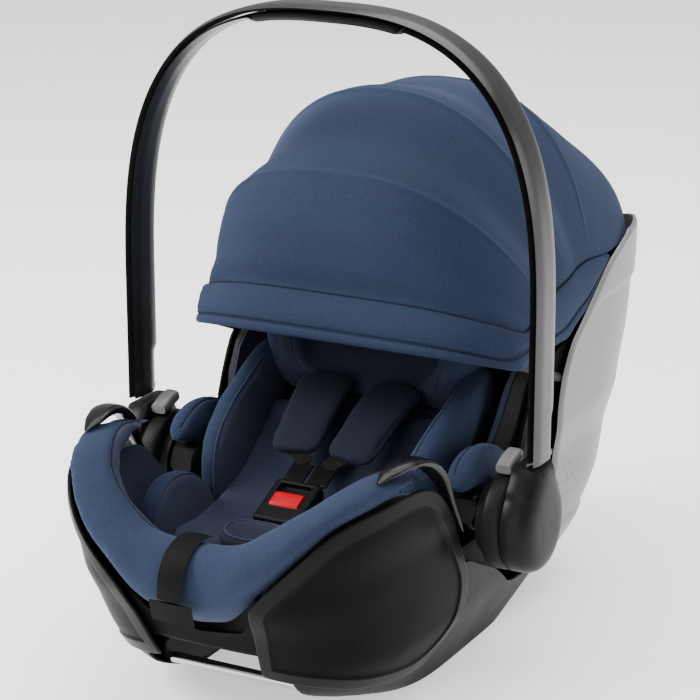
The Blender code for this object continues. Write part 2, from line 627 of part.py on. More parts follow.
def make_side_pads():
    for side, word in ((1, "right"), (-1, "left")):
        rings = []
        for a, low, high, thick in ((78, 0.1780, 0.190, 0.006), (81, 0.1740, 0.204, 0.0105), (84, 0.1720, 0.211, 0.0120),
                                    (87, 0.1730, 0.214, 0.0125), (90, 0.1760, 0.214, 0.0115), (92, 0.1880, 0.212, 0.008)):
            middle, half = (low + high) / 2, (high - low) / 2
            ring = []
            for u, w in oval(thick, half, 2.4, 12):
                p = hull(a, middle, 0.0240 - u)
                ring.append(Vector((side * p.x, p.y, middle + w)))
            rings.append(ring)
        loft("side_pad_" + word, rings, FABRIC)


def make_adjuster_strap():
    """The pull strap of the harness, which hangs over the padded foot end."""
    route = ((0, -0.2865, 0.1830), (0, -0.3040, 0.1850), (0, -0.3225, 0.1790), (0, -0.3335, 0.1680),
             (0, -0.3385, 0.1530), (0, -0.3391, 0.1400))
    strip("adjuster_strap", route, 0.0160, 0.0009, WEBBING)
    strip("adjuster_tab", ((0, -0.3384, 0.1380), (0, -0.3335, 0.1180)), 0.0245, 0.0014, WEBBING)


# ---------------------------------------------------------------- handle
def make_handle():
    band("handle_outer", -1, 1, 44, 0.0062, HANDLE_DEPTH, 0.0029, PLASTIC_HANDLE, squareness=3.2)
    band("handle_inner_left", -1, -0.163, 18, 0.0045, HANDLE_DEPTH - 0.006, -0.0036, PLASTIC_HANDLE, squareness=3.2)
    band("handle_inner_right", 0.163, 1, 18, 0.0045, HANDLE_DEPTH - 0.006, -0.0036, PLASTIC_HANDLE, squareness=3.2)
    band("handle_grip", -0.158, 0.158, 12, 0.0085, HANDLE_DEPTH + 0.001, -0.0056, RUBBER, squareness=3.0)


def drop_outline(grow):
    """The outline of a hub cover: a circle that flows up into the leg of the handle."""
    points = []
    neck_y, neck_z = HANDLE_DEPTH / 2, 0.058
    for k in range(19):
        a = math.radians(-222 + 264 * k / 18)
        points.append((HUB_RADIUS * math.cos(a), HUB_RADIUS * math.sin(a)))
    points.append((neck_y, neck_z))
    points.append((-neck_y, neck_z))
    return [(y * (1 + grow / HUB_RADIUS), z + grow * z / 0.06) for y, z in points]


def make_hubs():
    for side, word in ((1, "right"), (-1, "left")):
        centre = (0, HANDLE_PIVOT.y, HANDLE_PIVOT.z)
        disc = turned("hub_disc_" + word, ((HUB_INNER_X, 0.0112), (HUB_INNER_X, 0.0440), (HUB_INNER_X + 0.004, HUB_RADIUS),
                                           (HUB_SPLIT_X - 0.0035, HUB_RADIUS), (HUB_SPLIT_X - 0.0010, HUB_RADIUS - 0.002),
                                           (HUB_SPLIT_X - 0.0010, 0.0375), (0.1775, 0.0375), (0.1775, 0.0112),
                                           (HUB_INNER_X, 0.0112)),
                      PLASTIC_BLACK, segments=36, centre=centre, side=side)
        foot = block("hub_foot_" + word, (0.0080, 0.0340, 0.0440), PLASTIC_BLACK, bevel=0.002, segments=1,
                     location=(side * 0.1625, HANDLE_PIVOT.y + 0.0330, HANDLE_PIVOT.z))
        foot.hide_render = True
        foot.display_type = "WIRE"
        join = disc.modifiers.new("foot", "BOOLEAN")
        join.operation = "UNION"
        join.object = foot
        rings = []
        for x, grow in ((HUB_SPLIT_X, -0.0015), (HUB_SPLIT_X + 0.002, 0.0), (0.2090, 0.0), (0.2160, -0.003),
                        (0.2200, -0.009), (HUB_OUTER_X, -0.020)):
            rings.append([Vector((side * x, HANDLE_PIVOT.y + y, HANDLE_PIVOT.z + z)) for y, z in drop_outline(grow)])
        cover = loft("hub_cover_" + word, rings, PLASTIC_HANDLE, pivot=HANDLE_PIVOT)
        bore = turned("hub_bore_" + word, ((0.180, 0.0112), (0.2065, 0.0112)), PLASTIC_BLACK, segments=24,
                      centre=centre, side=side)
        cut(cover, bore)
        turned("pivot_bolt_" + word, ((0.1634, 0.0098), (0.1640, 0.0103), (0.2060, 0.0103)), STEEL,
               segments=24, centre=centre, side=side)
        make_gear("lock_gear_" + word, side, centre)
        make_spring("lock_spring_" + word, side, centre)
        block("release_button_" + word, (0.0160, 0.028, 0.012), PLASTIC_BUTTON, bevel=0.003, segments=2,
              location=(side * 0.1835, HANDLE_PIVOT.y - 0.004, HANDLE_PIVOT.z + 0.0568), rotation=(math.radians(14), 0, 0))


def make_gear(name, side, centre):
    """The toothed ring that locks the handle to its hub."""
    teeth, root, tip = 16, 0.0300, 0.0350
    outline = []
    for k in range(teeth):
        a = math.tau * k / teeth
        pitch = math.tau / teeth
        for share, radius in ((-0.30, root), (-0.16, tip), (0.16, tip), (0.30, root)):
            outline.append((radius, a + share * pitch))
    bm = bmesh.new()
    rows = []
    for x in (0.1862, 0.1914):
        rows.append([bm.verts.new((side * x, r * math.cos(a), r * math.sin(a))) for r, a in outline])
    holes = []
    for x in (0.1862, 0.1914):
        holes.append([bm.verts.new((side * x, 0.0112 * math.cos(a), 0.0112 * math.sin(a))) for _, a in outline])
    count = len(outline)
    for k in range(count):
        n = (k + 1) % count
        bm.faces.new((rows[0][k], rows[0][n], rows[1][n], rows[1][k]))
        bm.faces.new((holes[0][k], holes[1][k], holes[1][n], holes[0][n]))
        bm.faces.new((rows[0][k], holes[0][k], holes[0][n], rows[0][n]))
        bm.faces.new((rows[1][k], rows[1][n], holes[1][n], holes[1][k]))
    finish(name, bm, STEEL, location=centre)


def make_spring(name, side, centre):
    turns, radius, wire, first, last = 2, 0.0150, 0.0009, 0.1790, 0.1848
    steps = turns * 12
    rings = []
    for k in range(steps + 1):
        a = math.tau * turns * k / steps
        x = first + (last - first) * k / steps
        out = Vector((0, math.cos(a), math.sin(a)))
        ahead = Vector(((last - first) / (math.tau * turns * radius), -math.sin(a), math.cos(a))).normalized()
        up = out.cross(ahead)
        middle = Vector((x, 0, 0)) + out * radius
        ring = []
        for j in range(6):
            b = math.tau * j / 6
            p = middle + out * wire * math.cos(b) + up * wire * math.sin(b)
            ring.append(Vector((side * p.x, p.y, p.z)))
        rings.append(ring)
    loft(name, rings, STEEL, location=centre)


# ---------------------------------------------------------------- canopy
def hoop_point(fan, a):
    """The middle line of a hoop, which stays inside the fabric and never goes wider than the pivots."""
    p = arc(fan, a, -HOOP_DEPTH)
    return Vector((math.copysign(min(abs(p.x), HOOP_LEG_X), p.x), p.y, p.z))


def make_hoop(word, first_reach):
    """A flat-sided hoop. The brim hoop's legs go down to the pivots; the others are held by the fabric."""
    fan = HOOPS[word]
    start = arc_start(fan, first_reach)
    middle = [hoop_point(fan, start + (math.pi - 2 * start) * k / 26) for k in range(27)]
    t = math.radians(fan)
    if word == "brim":
        for side in (1, -1):
            leg = [CANOPY_PIVOT + Vector((side * HOOP_LEG_X, -r * math.cos(t), r * math.sin(t))) for r in (0.0, 0.06)]
            middle = leg + middle if side > 0 else middle + leg[::-1]
    across = Vector((0, math.sin(t), math.cos(t)))
    rings = []
    for k, here in enumerate(middle):
        a, b = middle[max(0, k - 1)], middle[min(len(middle) - 1, k + 1)]
        ahead = (b - a).normalized()
        out = ahead.cross(across).normalized()
        rings.append([here + out * u + across * w for u, w in oval(0.0011, 0.0042, 3.0, 8)])
    return loft("canopy_hoop_" + word, rings, PLASTIC_BLACK, pivot=CANOPY_PIVOT)


def make_panel(name, first, last, spec, steps, columns=26, edge=0.45, wall=0.0020, end_edge=None):
    end_edge = edge if end_edge is None else end_edge
    fans = [first + edge + (last - first - edge - end_edge) * k / steps for k in range(steps + 1)]
    outer = [[canopy(f, k / columns, 0.0, 0.0020) for k in range(columns + 1)] for f in fans]
    inner = [[canopy(f, k / columns, -wall, 0.0020) for k in range(columns + 1)] for f in fans]
    skin(name, outer, inner, spec)


def make_band():
    """The padded band along the whole lower edge of the canopy."""
    count = 24
    low = border(EDGE_REACH, EDGE_FAN, 119.0, count)
    high = border(SEAM_REACH, SEAM_FAN, 117.0, count)
    rings = []
    for a, b in zip(low, high):
        middle, up = (a + b) / 2, (b - a) / 2
        away = middle - Vector((0, 0.100, middle.z))
        out = (away - up * (away.dot(up) / up.dot(up))).normalized()
        rings.append([middle + up * w + out * v for v, w in
                      ((0.0, 0.985), (0.0026, 0.7), (0.0044, 0.2), (0.0040, -0.4), (0.0024, -0.85), (0.0006, -1.0),
                       (-0.0012, -0.96), (-0.0008, -0.4), (-0.0006, 0.3), (-0.0014, 0.9))])
    loft("canopy_band", rings, FABRIC)


def make_canopy():
    make_hoop("brim", 0.120)
    make_hoop("front", 0.134)
    make_hoop("middle", 0.124)
    make_hoop("rear", 0.130)
    make_band()
    make_panel("canopy_panel_front", SEAM_FAN, HOOPS["front"], FABRIC, steps=8)
    make_panel("canopy_panel_middle", HOOPS["front"], HOOPS["middle"], FABRIC, steps=5)
    make_panel("canopy_panel_rear", HOOPS["middle"], HOOPS["rear"], FABRIC, steps=5)
    make_panel("canopy_tail", HOOPS["rear"], CANOPY_TAIL, FABRIC, steps=7)
    for side, word in ((1, "right"), (-1, "left")):
        turned("canopy_pivot_" + word, ((0.1658, 0.0090), (0.1674, 0.0090), (0.1677, 0.0086)),
               PLASTIC_BLACK, segments=20, centre=CANOPY_PIVOT, side=side)


def main():
    for obj in list(bpy.data.objects):
        bpy.data.objects.remove(obj)
    make_base()
    make_tunnel()
    make_latch_bar("front_latch_bar", -0.2250, 0.0300, 0.0700)
    make_tub()
    make_foam_and_cover()
    for side in (1, -1):
        make_wing(side)
        make_horn(side)
        make_belt_guide(side)
    make_back_shell()
    make_bolster()
    make_insert()
    make_headrest()
    make_harness()
    make_side_pads()
    make_adjuster_strap()
    make_handle()
    make_hubs()
    make_canopy()


main()
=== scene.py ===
"""Looks of the infant carrier seat: moulded shells, sewn cushions, the canopy's cloth and every finish.

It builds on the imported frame, in metres. The foot end faces -Y, the head end +Y, and X is across.
"""

import bisect
import functools
import math

import bmesh
import bpy
import numpy as np
from mathutils import Matrix, Vector
from mathutils import noise as field
from mathutils.bvhtree import BVHTree
from mathutils.kdtree import KDTree


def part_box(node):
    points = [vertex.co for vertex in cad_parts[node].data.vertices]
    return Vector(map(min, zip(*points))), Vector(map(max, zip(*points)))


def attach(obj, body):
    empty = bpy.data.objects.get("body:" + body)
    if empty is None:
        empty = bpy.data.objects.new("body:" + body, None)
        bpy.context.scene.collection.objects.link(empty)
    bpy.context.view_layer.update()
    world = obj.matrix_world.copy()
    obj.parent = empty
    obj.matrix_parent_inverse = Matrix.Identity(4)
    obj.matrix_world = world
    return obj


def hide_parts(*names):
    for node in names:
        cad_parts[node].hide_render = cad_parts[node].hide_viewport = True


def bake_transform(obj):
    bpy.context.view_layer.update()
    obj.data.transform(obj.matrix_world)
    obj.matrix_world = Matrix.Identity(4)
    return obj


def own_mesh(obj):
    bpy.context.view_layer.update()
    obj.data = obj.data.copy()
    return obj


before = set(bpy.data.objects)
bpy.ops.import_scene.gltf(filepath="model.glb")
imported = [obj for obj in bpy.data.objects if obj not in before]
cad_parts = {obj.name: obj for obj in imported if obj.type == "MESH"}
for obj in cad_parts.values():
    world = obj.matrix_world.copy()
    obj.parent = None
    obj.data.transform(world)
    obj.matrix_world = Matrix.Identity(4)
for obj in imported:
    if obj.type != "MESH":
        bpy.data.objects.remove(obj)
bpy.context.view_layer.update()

# ---------------------------------------------------------------- driving sizes
HANDLE_PIVOT = Vector((0.0, -0.0455, 0.150))
CANOPY_PIVOT = Vector((0.0, 0.140, 0.225))
SIDES = ((1, "right"), (-1, "left"))
ACROSS = Vector((1.0, 0.0, 0.0))
BACK_START = Vector((0.0, 0.028, 0.190))
HEADREST_WAY = Vector((0.0, 0.80, 0.60))
HEADREST_UP = ACROSS.cross(HEADREST_WAY)
BUCKLE = Vector((0.0, -0.1320, 0.1570))
BUCKLE_TILT = math.radians(24)
HUB_RADIUS = 0.047
HANDLE_RISE = 0.4525
HANDLE_HALF_SPAN = 0.2115
HANDLE_DEPTH = 0.042
# The legs stand straight from HANDLE_FOOT to HANDLE_SHOULDER, over the last share of each half.
HANDLE_FOOT, HANDLE_SHOULDER, HANDLE_LEG, HANDLE_SQUARENESS = 0.060, 0.180, 0.30, 2.75

PANEL = 0.0026
PIPING_RADIUS = 0.0013
BASE_INSET, BASE_WALL = 0.0040, 0.0030
TUB_INSET, TUB_WALL, TUB_FLOOR_Z = 0.0092, 0.0032, 0.0745
FOAM_INSET = 0.0175
SEAT_FLOOR_Z = 0.0890
SEAT_MIDDLE_Y = -0.130

# Plan of the hull at each height: foot end, head end and half width. Each row is (height, value).
FOOT_Y = ((0, -0.1745), (0.015, -0.2205), (0.035, -0.2595), (0.060, -0.2785), (0.100, -0.3015),
          (0.140, -0.3260), (0.180, -0.3340), (0.240, -0.3290), (0.350, -0.3145))
HEAD_Y = ((0, 0.0985), (0.015, 0.1525), (0.045, 0.2035), (0.080, 0.2495), (0.115, 0.2855),
          (0.160, 0.3025), (0.200, 0.3075), (0.260, 0.3300), (0.334, 0.3400), (0.355, 0.3400))
HALF_X = ((0, 0.131), (0.012, 0.133), (0.035, 0.142), (0.070, 0.157), (0.110, 0.162),
          (0.150, 0.163), (0.200, 0.174), (0.350, 0.176))
HULL_SQUARENESS = (3.6, 7.0)

# Plan of the hollow that the child lies in.
SEAT_FOOT_Y = ((0.085, -0.190), (0.110, -0.245), (0.140, -0.282), (0.200, -0.296), (0.350, -0.296))
SEAT_HEAD_Y = ((0.085, -0.070), (0.110, -0.025), (0.150, 0.045), (0.200, 0.115), (0.260, 0.200),
               (0.310, 0.265), (0.350, 0.300))
SEAT_HALF_X = ((0.085, 0.085), (0.110, 0.112), (0.150, 0.130), (0.200, 0.141), (0.350, 0.148))
SEAT_SQUARENESS = (3.4, 3.4)

# Edges around the hull. Each row is (angle in degrees from the foot end, height).
BASE_TOP = ((0, 0.052), (14, 0.052), (30, 0.070), (50, 0.105), (64, 0.116), (77, 0.101), (90, 0.086),
            (124, 0.044), (150, 0.038), (180, 0.036))
TUB_RIM = ((0, 0.094), (9, 0.102), (13, 0.140), (21, 0.182), (28, 0.206), (37, 0.214), (44, 0.208),
           (53, 0.172), (58, 0.140), (63, 0.128), (76, 0.128), (81, 0.150), (86, 0.160), (97, 0.164),
           (101, 0.204), (105, 0.250), (112, 0.266), (122, 0.272), (130, 0.296), (138, 0.316), (150, 0.323),
           (180, 0.321))
BACK_TOP = ((120, 0.3540), (146, 0.3520), (152, 0.3540), (160, 0.3450), (170, 0.3380), (180, 0.3360))
BACK_LOW, BACK_HIGH = 0.047, 0.3540
BACK_FRONT_EDGE = ((0.045, 126), (0.100, 125), (0.150, 127), (0.200, 121.5), (0.236, 120.5),
                   (0.266, 123), (0.292, 129.5), (0.311, 134), (0.334, 139), (0.352, 146))
BOLSTER_LIP = ((0, 0.0965), (6, 0.106), (12, 0.1425), (16, 0.164), (21, 0.191), (24.5, 0.209), (28, 0.216),
               (33, 0.221), (37, 0.2255), (44, 0.2235), (48, 0.212))
BOLSTER_TOP = ((0, 0.180), (8, 0.184), (16, 0.204), (21, 0.219), (28, 0.235), (34, 0.239), (39, 0.2325),
               (48, 0.2235))
BOLSTER_THICK = ((0, 0.030), (12, 0.027), (28, 0.021), (47, 0.018))
BOLSTER_OUTSIDE = ((0, 0.0030), (10, 0.0025), (14, 0.000), (47, 0.000))
# Rows of dimples in the back shell: height, first angle around the hull, step in angle and count.
DIMPLES = ((0.1400, 133.0, 2.1, 2), (0.1250, 130.5, 2.0, 4), (0.1090, 128.7, 1.9, 5),
           (0.0930, 128.0, 1.9, 5), (0.0770, 127.8, 1.9, 4))
# Hub cover: rows of (distance out, how much the outline grows). Ring behind it: (distance out, radius).
HUB_DOME = ((0.1930, -0.0014), (0.1936, -0.0006), (0.1945, 0.0), (0.2020, 0.0), (0.2070, -0.0003),
            (0.2105, -0.0012), (0.2140, -0.0030), (0.2168, -0.0056), (0.2190, -0.0092), (0.2206, -0.0140),
            (0.2216, -0.0200), (0.2220, -0.0280))
HUB_RING = ((0.1640, 0.0350), (0.1715, 0.0352), (0.1722, 0.0380), (0.1732, 0.0430), (0.1742, 0.0452),
            (0.1760, 0.0466), (0.1785, 0.0470), (0.1880, 0.0470), (0.1895, 0.0466), (0.1905, 0.0458),
            (0.1917, 0.0450))
# The two seams on a hub cover, each as points (y, z) from the pivot.
HUB_SEAMS = (((-0.0190, 0.0300), (-0.0150, 0.0080), (-0.0100, -0.0150), (-0.0060, -0.0330),
              (-0.0010, -0.0370)),
             ((0.0280, -0.0330), (0.0335, -0.0270), (0.0380, -0.0190)))
# Thirteen even slices through a small part, from end to end.
SLICES = [-1 + 2 * k / 12 for k in range(13)]

# Canopy. A fan angle is measured about CANOPY_PIVOT, up from the foot end. Each row is (fan, value).
CANOPY_RISE = ((19.6, 0.2220), (31, 0.2240), (36, 0.2440), (44, 0.2800), (50.5, 0.2950), (62, 0.2890),
               (74.5, 0.2970), (88, 0.2800), (101.6, 0.2805), (110, 0.2690), (120, 0.2600), (132, 0.2560),
               (143, 0.2400), (150, 0.2170))
CANOPY_HALF_X = ((19.6, 0.1800), (31, 0.1795), (40, 0.1775), (50.5, 0.1785), (62, 0.1740), (74.5, 0.1800),
                 (88, 0.1750), (101.6, 0.1790), (120, 0.1785), (132, 0.1760), (143, 0.1700), (150, 0.1640))
# Low on the sides the hoops don't show, so the half width there runs smoothly past them.
CANOPY_SIDE_X = ((19.6, 0.1800), (31, 0.1795), (50.5, 0.1785), (101.6, 0.1788), (120, 0.1785), (132, 0.1760),
                 (143, 0.1700), (150, 0.1640))
CANOPY_SQUARE = ((19.6, 4.0), (31, 3.8), (40, 2.9), (50.5, 2.60), (62, 2.30), (74.5, 2.28), (88, 2.25),
                 (101.6, 2.35), (110, 2.60), (120, 2.95), (132, 3.6), (143, 4.5))
SEAM_REACH = ((31.0, 0.1950), (32.2, 0.1650), (33.5, 0.1520), (36.5, 0.1450), (43.0, 0.1360), (57.6, 0.1220),
              (78.8, 0.1150), (102.9, 0.1210), (118.0, 0.1300), (129.0, 0.1490), (143.0, 0.1900),
              (150.0, 0.2050))
EDGE_REACH = ((19.6, 0.1600), (20.3, 0.1450), (22.6, 0.1320), (28.7, 0.1090), (38.7, 0.0840), (65.0, 0.0600),
              (96.3, 0.0680), (112.6, 0.0960), (121.0, 0.1270))
SEAM_FAN, EDGE_FAN, BAND_END = 31.0, 19.6, 119.0
RIDGE_HEIGHT, RIDGE_WIDTH, LINING = 0.0020, 0.85, 0.0009
FRONT_FAN, MIDDLE_FAN, REAR_FAN, TAIL_FAN = 50.5, 74.5, 101.6, 150.0
# The cloth goes no wider than this low on its sides, so that it folds down inside the back shell.
SIDE_LIMIT, SIDE_EASE = 0.1697, 0.0008


# ---------------------------------------------------------------- shared formulas
@functools.lru_cache(maxsize=None)
def prepared(rows):
    """The places of a table's rows and the slope of the smooth curve at each."""
    slopes = [(b[1] - a[1]) / (b[0] - a[0]) for a, b in zip(rows, rows[1:])]
    middle = [0.0 if a * b <= 0 else 2 * a * b / (a + b) for a, b in zip(slopes, slopes[1:])]
    return [row[0] for row in rows], [slopes[0], *middle, slopes[-1]]


def between(rows, x):
    """Smooth, monotone interpolation through rows of (x, y)."""
    if x <= rows[0][0]:
        return rows[0][1]
    if x >= rows[-1][0]:
        return rows[-1][1]
    places, slopes = prepared(rows)
    i = bisect.bisect_right(places, x) - 1
    (x0, y0), (x1, y1) = rows[i], rows[i + 1]
    h = x1 - x0
    t = (x - x0) / h
    return ((2 * t**3 - 3 * t**2 + 1) * y0 + (t**3 - 2 * t**2 + t) * h * slopes[i]
            + (3 * t**2 - 2 * t**3) * y1 + (t**3 - t**2) * h * slopes[i + 1])


def smooth_step(low, high, x):
    t = min(1.0, max(0.0, (x - low) / (high - low)))
    return t * t * (3 - 2 * t)


def shape_reach(c, s, n):
    """How far a superellipse reaches in the direction (c, s)."""
    return (abs(c) ** n + abs(s) ** n) ** (-1 / n)


def oval(half_a, half_b, squareness, count):
    """Points of a superellipse, in two dimensions, anticlockwise."""
    found = []
    for k in range(count):
        a = math.tau * k / count
        c, s = math.cos(a), math.sin(a)
        r = shape_reach(c / half_a, s / half_b, squareness)
        found.append((r * c, r * s))
    return found


def slice_point(degrees, z, rows, inset, squareness):
    """A point on one plan outline. Angles run from the foot end round by +X to the head end."""
    foot, head, half = (between(table, z) for table in rows)
    middle, length, half = (foot + head) / 2, (head - foot) / 2 - inset, half - inset
    a = math.radians(degrees)
    n = squareness[0] if math.cos(a) > 0 else squareness[1]
    r = shape_reach(math.sin(a) / half, math.cos(a) / length, n)
    return Vector((r * math.sin(a), middle - r * math.cos(a), z))


def hull(degrees, z, inset=0.0):
    return slice_point(degrees, z, (FOOT_Y, HEAD_Y, HALF_X), inset, HULL_SQUARENESS)


def hollow(degrees, z, inset=0.0):
    return slice_point(degrees, z, (SEAT_FOOT_Y, SEAT_HEAD_Y, SEAT_HALF_X), inset, SEAT_SQUARENESS)


def folded(degrees):
    """The same place on the right-hand side, from 0 to 180 degrees."""
    return abs((degrees + 180.0) % 360.0 - 180.0)


def at_bearing(shape, bearing, z, inset):
    """The point of a plan outline at a bearing from the seat's middle, and its angle on the outline."""
    low, high = 0.0, 180.0
    for _ in range(17):
        angle = (low + high) / 2
        p = shape(angle, z, inset)
        if math.degrees(math.atan2(p.x, SEAT_MIDDLE_Y - p.y)) < folded(bearing):
            low = angle
        else:
            high = angle
    side = 1 if 0 < bearing < 180 else -1 if bearing > 180 else 0
    return Vector((side * p.x, p.y, z)), angle


def arc(fan, a, lift=0.0):
    """A point of the canopy at one fan angle. a runs from 0 at the right side to pi at the left."""
    rise = between(CANOPY_RISE, fan) + lift
    low, high = between(CANOPY_SIDE_X, fan), between(CANOPY_HALF_X, fan)
    n = between(CANOPY_SQUARE, fan)
    wide = abs(math.cos(a)) ** (2 / n)
    x = wide * (low + (high - low) * smooth_step(0.30, 0.80, math.sin(a)))
    x = -SIDE_EASE * math.log(math.exp(-x / SIDE_EASE) + math.exp(-SIDE_LIMIT / SIDE_EASE))
    x = math.copysign(x + 0.75 * lift * wide, math.cos(a))
    reach = rise * abs(math.sin(a)) ** (2 / n)
    t = math.radians(fan)
    return CANOPY_PIVOT + Vector((x, -reach * math.cos(t), reach * math.sin(t)))


def arc_start(fan, reach):
    """Where on the arc its distance from the pivot has grown to reach."""
    n = between(CANOPY_SQUARE, fan)
    return math.asin(min(0.999, (reach / between(CANOPY_RISE, fan)) ** (n / 2)))


def columns_of(stations):
    """One table for each further column of a list of stations, whose first column is the place."""
    return [tuple((row[0], row[i]) for row in stations) for i in range(1, len(stations[0]))]


def handle_line(t):
    """The middle of the handle's band: t runs from -1 at the left hub, over the top, to 1 at the right."""
    side = math.copysign(1.0, t)
    s = abs(t)
    if s > 1 - HANDLE_LEG:
        share = (s - (1 - HANDLE_LEG)) / HANDLE_LEG
        rise = HANDLE_SHOULDER * (1 - share) + HANDLE_FOOT * share
        return HANDLE_PIVOT + Vector((side * HANDLE_HALF_SPAN, 0, rise))
    a = (1 - s / (1 - HANDLE_LEG)) * math.pi / 2
    c, q = math.cos(a), math.sin(a)
    r = shape_reach(c, q, HANDLE_SQUARENESS)
    return HANDLE_PIVOT + Vector((side * HANDLE_HALF_SPAN * r * c, 0,
                                  HANDLE_SHOULDER + (HANDLE_RISE - HANDLE_SHOULDER) * r * q))


def along_back(distance, lift=0.0, x=0.0):
    """A point on the reclined back of the seat, distance up it and lift above it."""
    return BACK_START + Vector((x, 0, 0)) + HEADREST_WAY * distance + HEADREST_UP * lift


def run_of(points):
    """How far along the line each of its points lies."""
    return np.cumsum([0.0] + [(b - a).length for a, b in zip(points, points[1:])])


def at_length(points, lengths, want):
    i = min(int(np.searchsorted(lengths, want, side="right")) - 1, len(points) - 2)
    return points[i].lerp(points[i + 1], (want - lengths[i]) / max(1e-12, lengths[i + 1] - lengths[i]))


def heading(line, k):
    """The direction of a line of points at its point k."""
    return (line[min(len(line) - 1, k + 1)] - line[max(0, k - 1)]).normalized()


def spaced(points, count):
    """The same line through count + 1 evenly spaced points, smoothed by a Catmull-Rom curve."""
    fine = []
    for k in range(len(points) - 1):
        p0, p1, p2, p3 = (Vector(points[min(len(points) - 1, max(0, k + j))]) for j in (-1, 0, 1, 2))
        for m in range(16):
            t = m / 16
            fine.append(0.5 * ((2 * p1) + (p2 - p0) * t + (2 * p0 - 5 * p1 + 4 * p2 - p3) * t * t
                               + (3 * p1 - p0 - 3 * p2 + p3) * t**3))
    fine.append(Vector(points[-1]))
    lengths = run_of(fine)
    return [at_length(fine, lengths, want) for want in np.linspace(0, lengths[-1], count + 1)]


# ---------------------------------------------------------------- materials
def put(node, **values):
    """Sets or links a node's inputs. A name here has _ where the input's own name has a space."""
    for name, value in values.items():
        socket = node.inputs[name.replace("_", " ")]
        if isinstance(value, bpy.types.NodeSocket):
            node.id_data.links.new(value, socket)
        else:
            socket.default_value = value
    return node


def new_material(name, colour, roughness):
    made = bpy.data.materials.new(name)
    made.use_nodes = True
    tree = made.node_tree
    shader = put(tree.nodes["Principled BSDF"], Base_Color=(*colour, 1.0), Roughness=roughness)
    return made, tree, shader, tree.nodes.new("ShaderNodeTexCoord").outputs["Object"]


def noise(tree, place, scale, detail=2.0, rough=0.55, stretch=None):
    if stretch:
        place = put(tree.nodes.new("ShaderNodeMapping"), Scale=stretch, Vector=place).outputs["Vector"]
    node = tree.nodes.new("ShaderNodeTexNoise")
    return put(node, Scale=scale, Detail=detail, Roughness=rough, Vector=place).outputs["Fac"]


def ramp(tree, value, low, high, first, last):
    """Maps a value from low..high to a range of numbers, clamped."""
    node = tree.nodes.new("ShaderNodeMapRange")
    return put(node, From_Min=low, From_Max=high, To_Min=first, To_Max=last, Value=value).outputs["Result"]


def blend_colours(tree, share, first, last):
    node = tree.nodes.new("ShaderNodeMix")
    node.data_type = "RGBA"
    for socket, colour in (("A", first), ("B", last)):
        target = next(i for i in node.inputs if i.name == socket and i.type == "RGBA")
        if isinstance(colour, tuple):
            target.default_value = (*colour, 1.0)
        else:
            tree.links.new(colour, target)
    factor = next(i for i in node.inputs if i.name == "Factor" and i.type == "VALUE")
    tree.links.new(share, factor)
    return next(o for o in node.outputs if o.type == "RGBA")


def bump(tree, shader, heights, strength):
    """Adds up (height, depth in metres) pairs as one bump chain."""
    last = None
    for height, depth in heights:
        node = put(tree.nodes.new("ShaderNodeBump"), Strength=strength, Distance=depth, Height=height)
        if last:
            put(node, Normal=last)
        last = node.outputs["Normal"]
    put(shader, Normal=last)


def plastic(name, colour, roughness, grain=1500.0, depth=0.00005, coat=0.0, spread=0.05, gloss=0.35,
            mottle=1.0):
    """A moulded plastic with a fine spark-eroded grain, slight gloss changes and faint handling marks."""
    made, tree, shader, place = new_material(name, colour, roughness)
    fine = noise(tree, place, grain, 3.0)
    broad = noise(tree, place, 14.0, 3.0)
    worn = noise(tree, place, 95.0, 4.0, 0.7)
    lighter = tuple(min(1.0, c * (1 + 0.14 * mottle) + 0.0006 * mottle) for c in colour)
    darker = tuple(c * (1 - 0.10 * mottle) for c in colour)
    total = tree.nodes.new("ShaderNodeMath")
    total.operation = "ADD"
    tree.links.new(ramp(tree, broad, 0.3, 0.7, roughness - spread, roughness + spread), total.inputs[0])
    tree.links.new(ramp(tree, worn, 0.45, 0.8, 0.0, spread), total.inputs[1])
    put(shader, Base_Color=blend_colours(tree, ramp(tree, worn, 0.35, 0.68, 0, 1), darker, lighter),
        Roughness=total.outputs[0], Specular_IOR_Level=gloss, Coat_Weight=coat, Coat_Roughness=0.18)
    bump(tree, shader, [(fine, depth)], 0.6)
    return made


def cloth(name, dark, light, sheen=0.10, tint=(0.40, 0.52, 0.80), weave=1150.0, depth=0.00016):
    """A melange jersey: mixed light and dark yarn, a knitted surface and a soft sheen."""
    made, tree, shader, place = new_material(name, dark, 0.92)
    fibre = noise(tree, place, weave, 3.0, 0.7)
    slub = noise(tree, place, 330.0, 3.0, 0.65, stretch=(1.0, 1.0, 2.6))
    broad = noise(tree, place, 9.0, 2.0)
    base = blend_colours(tree, ramp(tree, fibre, 0.30, 0.72, 0.0, 1.0), dark, light)
    deeper = tuple(c * 0.85 for c in dark)
    slubbed = blend_colours(tree, ramp(tree, slub, 0.42, 0.80, 0.0, 0.45), base, deeper)
    paler = tuple(min(1.0, c * 1.06) for c in light)
    shade = blend_colours(tree, ramp(tree, broad, 0.35, 0.75, 0.0, 0.16), slubbed, paler)
    cells = put(tree.nodes.new("ShaderNodeTexVoronoi"), Scale=weave * 1.1, Vector=place).outputs["Distance"]
    bump(tree, shader, [(cells, depth), (fibre, depth * 0.8), (slub, depth)], 0.5)
    put(shader, Base_Color=shade, Sheen_Weight=sheen, Sheen_Roughness=0.45, Sheen_Tint=(*tint, 1.0),
        Specular_IOR_Level=0.15)
    return made


